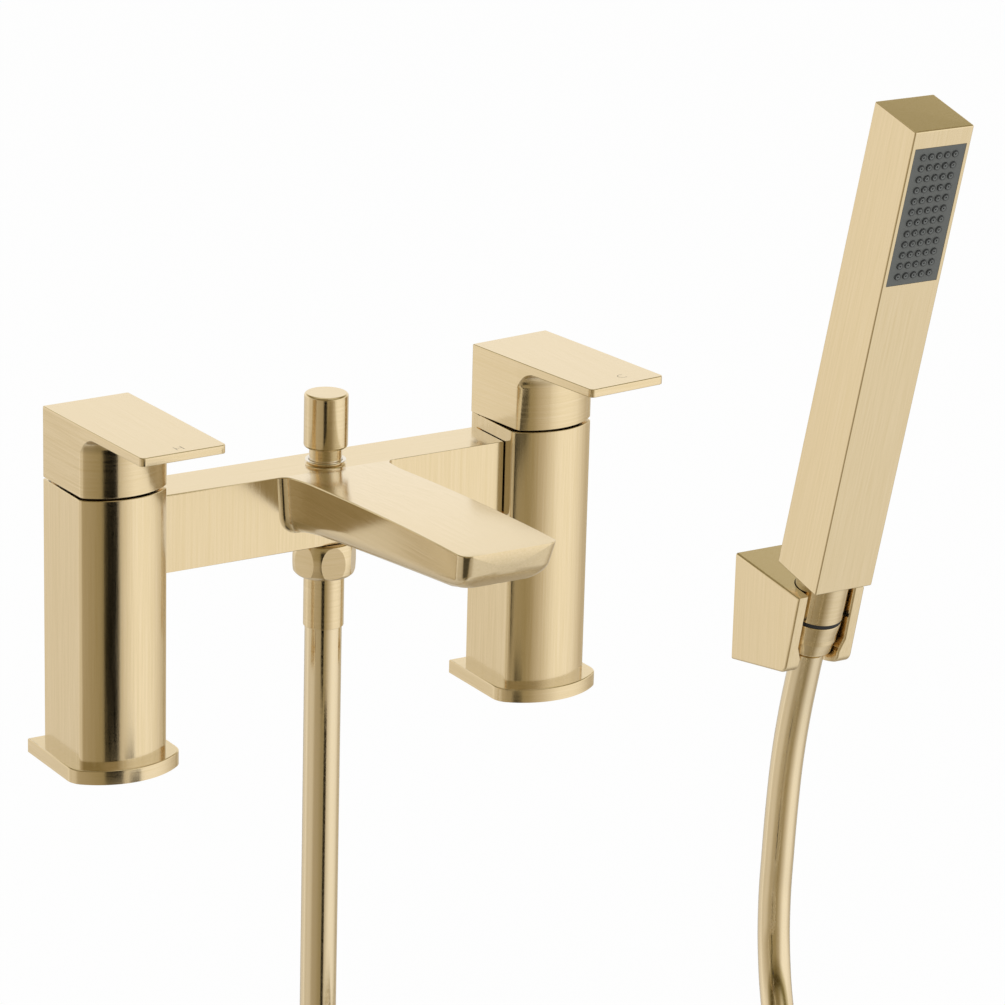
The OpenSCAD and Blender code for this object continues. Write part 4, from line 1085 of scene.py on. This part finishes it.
# %% Handset block
HANDSET_W, HANDSET_D, HANDSET_L = 29, 28.5, 215
SPRAY_W, SPRAY_TOP, SPRAY_BOTTOM, SPRAY_DEEP = 25, 207.2, 145.8, 2.3
HANDSET_FRONT = -HANDSET_D / 2


def cut(piece, point, normal):
    """Cut new edges round the piece in a plane, without taking anything away."""
    only(piece)
    bpy.ops.object.mode_set(mode="EDIT")
    bpy.ops.mesh.select_all(action="SELECT")
    bpy.ops.mesh.bisect(plane_co=Vector(point) * MM, plane_no=normal)
    bpy.ops.object.mode_set(mode="OBJECT")


def in_window(p, margin=0.0):
    """Whether a point lies in the spray plate's window, or within margin of it."""
    across = abs(p.x) < SPRAY_W / 2 + margin
    return across and SPRAY_BOTTOM - margin < p.z < SPRAY_TOP + margin and p.y < -10


handset = add_block(
    "handset_satin", (-HANDSET_W / 2, HANDSET_FRONT, 0), (HANDSET_W / 2, HANDSET_D / 2, HANDSET_L)
)
for x in (-SPRAY_W / 2, SPRAY_W / 2):
    cut(handset, (x, 0, 0), (1, 0, 0))
for z in (SPRAY_BOTTOM, SPRAY_TOP):
    cut(handset, (0, 0, z), (0, 0, 1))
bpy.ops.object.mode_set(mode="EDIT")
bpy.ops.mesh.select_mode(type="FACE")
bpy.ops.mesh.select_all(action="DESELECT")
shape = bmesh.from_edit_mesh(handset.data)
for face in shape.faces:
    face.select_set(face.normal.y < -0.9 and in_window(face.calc_center_median() / MM))
bmesh.update_edit_mesh(handset.data)
bpy.ops.mesh.extrude_region_move(TRANSFORM_OT_translate={"value": (0, SPRAY_DEEP * MM, 0)})
bpy.ops.mesh.select_all(action="SELECT")
bpy.ops.mesh.dissolve_limited(angle_limit=FLAT_ANGLE)
bpy.ops.object.mode_set(mode="OBJECT")
round_edges(handset, lambda p, fold, way: fold > 40 and not in_window(p, 0.1), 0.7)
round_edges(
    handset, lambda p, fold, way: fold > 40 and in_window(p, 0.1) and p.y < HANDSET_FRONT + 0.1, 0.2, 2
)
handset.data.transform(HANDSET)
dress(handset, gold_handset, "handset", "handset_body", "handset_cap")

# %% [markdown]
# ## Neck and conical nut
# The conical nut screws the hose to the handset's neck. The real one is turned, with a small round lip
# at the narrow end, so it is turned here too, from its outline.

# %% Neck and conical nut
neck = from_cad("inlet_neck", "handset_neck_satin")
dress(neck, gold_turned, "handset", "inlet_neck")
CONE_OUTLINE = [
    (6.7, -33.9), (6.7, -35.4), (8.4, -36), (9.0, -35.9), (9.35, -35.4), (10.4, -28.5),
    (11.2, -21.6), (11.0, -21.05), (10.48, -21.05), (10.48, -30), (8.2, -30), (8.2, -33.9),
]
cone = turned("conical_nut_satin", CONE_OUTLINE)
cone.data.transform(HANDSET)
dress(cone, gold_turned, "handset", "cone_nut")

# %% [markdown]
# ## Nozzles
# The rubber nozzles stand through the holes of the spray plate. One is turned, and two arrays copy it to
# five columns and twelve rows. Each has a paler mouth, where lime and wear dull the rubber.

# %% Nozzles
COLUMNS, ROWS, COLUMN_PITCH, ROW_PITCH = 5, 12, 3.9, 4.85
MOUTH_R = 1.02
MAT_HALF, MAT_BACK, MAT_MARGIN = 12, 3.5, 0.5
NOZZLE_OUTLINE = [
    (0.35, -2.3), (1.42, -2.3), (1.42, 0.35), (1.34, 0.58), (1.2, 0.68), (1.0, 0.62), (0.6, 0.5),
    (0.35, 0.44),
]
mouth = plain_finish("worn rubber mouth", "#626563", "#6c6f6d", 0.5, grain=0.3)
mat_slot = slot_of["nozzle_mat"]
nozzle = turned("nozzle_mat_rubber", NOZZLE_OUTLINE, 20)
share_faces(nozzle, FINISH[mat_slot], (mouth, lambda n, c: math.hypot(c.x, c.y) < MOUTH_R and c.z > 0.3))
first_x = -(COLUMNS - 1) / 2 * COLUMN_PITCH
first_z = (SPRAY_TOP + SPRAY_BOTTOM) / 2 - (ROWS - 1) / 2 * ROW_PITCH
nozzle.data.transform(shift(first_x, 0.1 + HANDSET_FRONT, first_z) @ rotation(90, "X"))
for axis, count, pitch in ((0, COLUMNS, COLUMN_PITCH), (2, ROWS, ROW_PITCH)):
    only(nozzle)
    row = nozzle.modifiers.new("row", "ARRAY")
    row.count = count
    row.use_relative_offset = False
    row.use_constant_offset = True
    row.constant_offset_displace = [pitch * MM if i == axis else 0 for i in range(3)]
    bpy.ops.object.modifier_apply(modifier=row.name)
mat_low = (-MAT_HALF, SPRAY_DEEP + HANDSET_FRONT, SPRAY_BOTTOM + MAT_MARGIN)
join(nozzle, add_block("mat", mat_low, (MAT_HALF, MAT_BACK + HANDSET_FRONT, SPRAY_TOP - MAT_MARGIN)))
nozzle.data.transform(HANDSET)
dress(nozzle, FINISH[mat_slot], "handset", "nozzle_mat", slot=mat_slot, angle=40)
print("nozzles", COLUMNS * ROWS)

# %% [markdown]
# ## Bracket
# The bracket is a cast block that narrows to its front, with a slot for the handset's neck. Its edges
# are the softest of the whole set, about a millimetre round, and its lower front edge is rounder still.

# %% Bracket
BRACKET_X, BRACKET_W = 280, 34
bracket = from_cad("bracket_body", "bracket_satin")


def on_chin(p, fold, way):
    """The lower edge of the front."""
    return fold > 30 and abs(way.x) > 0.9 and p.y < 76 and p.z < -45


def on_block(p, fold, way):
    """The edges of the two sides and of the front below the slot, but not those at the wall."""
    outer = abs(p.x - BRACKET_X) > BRACKET_W / 2 - 0.05 or (p.y < 75 and p.z < -20)
    return fold > 30 and outer and p.y < 110.5


round_edges(bracket, on_chin, 3.0, 6)
round_edges(bracket, on_block, 1.0, 4)
dress(bracket, gold_upright, "root", "bracket_body")

# %% [markdown]
# ## The hose in its place
# Most of the hose lies still, and its last stretch bends after the handset. Here no blend is made: the
# whole hose gets its finish and stays where it is, in place of the three CAD hoses.

# %% Hose in the frame
hose.data.materials.clear()
hose.data.materials.append(FINISH["gold_hose"])
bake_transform(hose)
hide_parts("hose_drop", "hose_coil", "hose_rise")
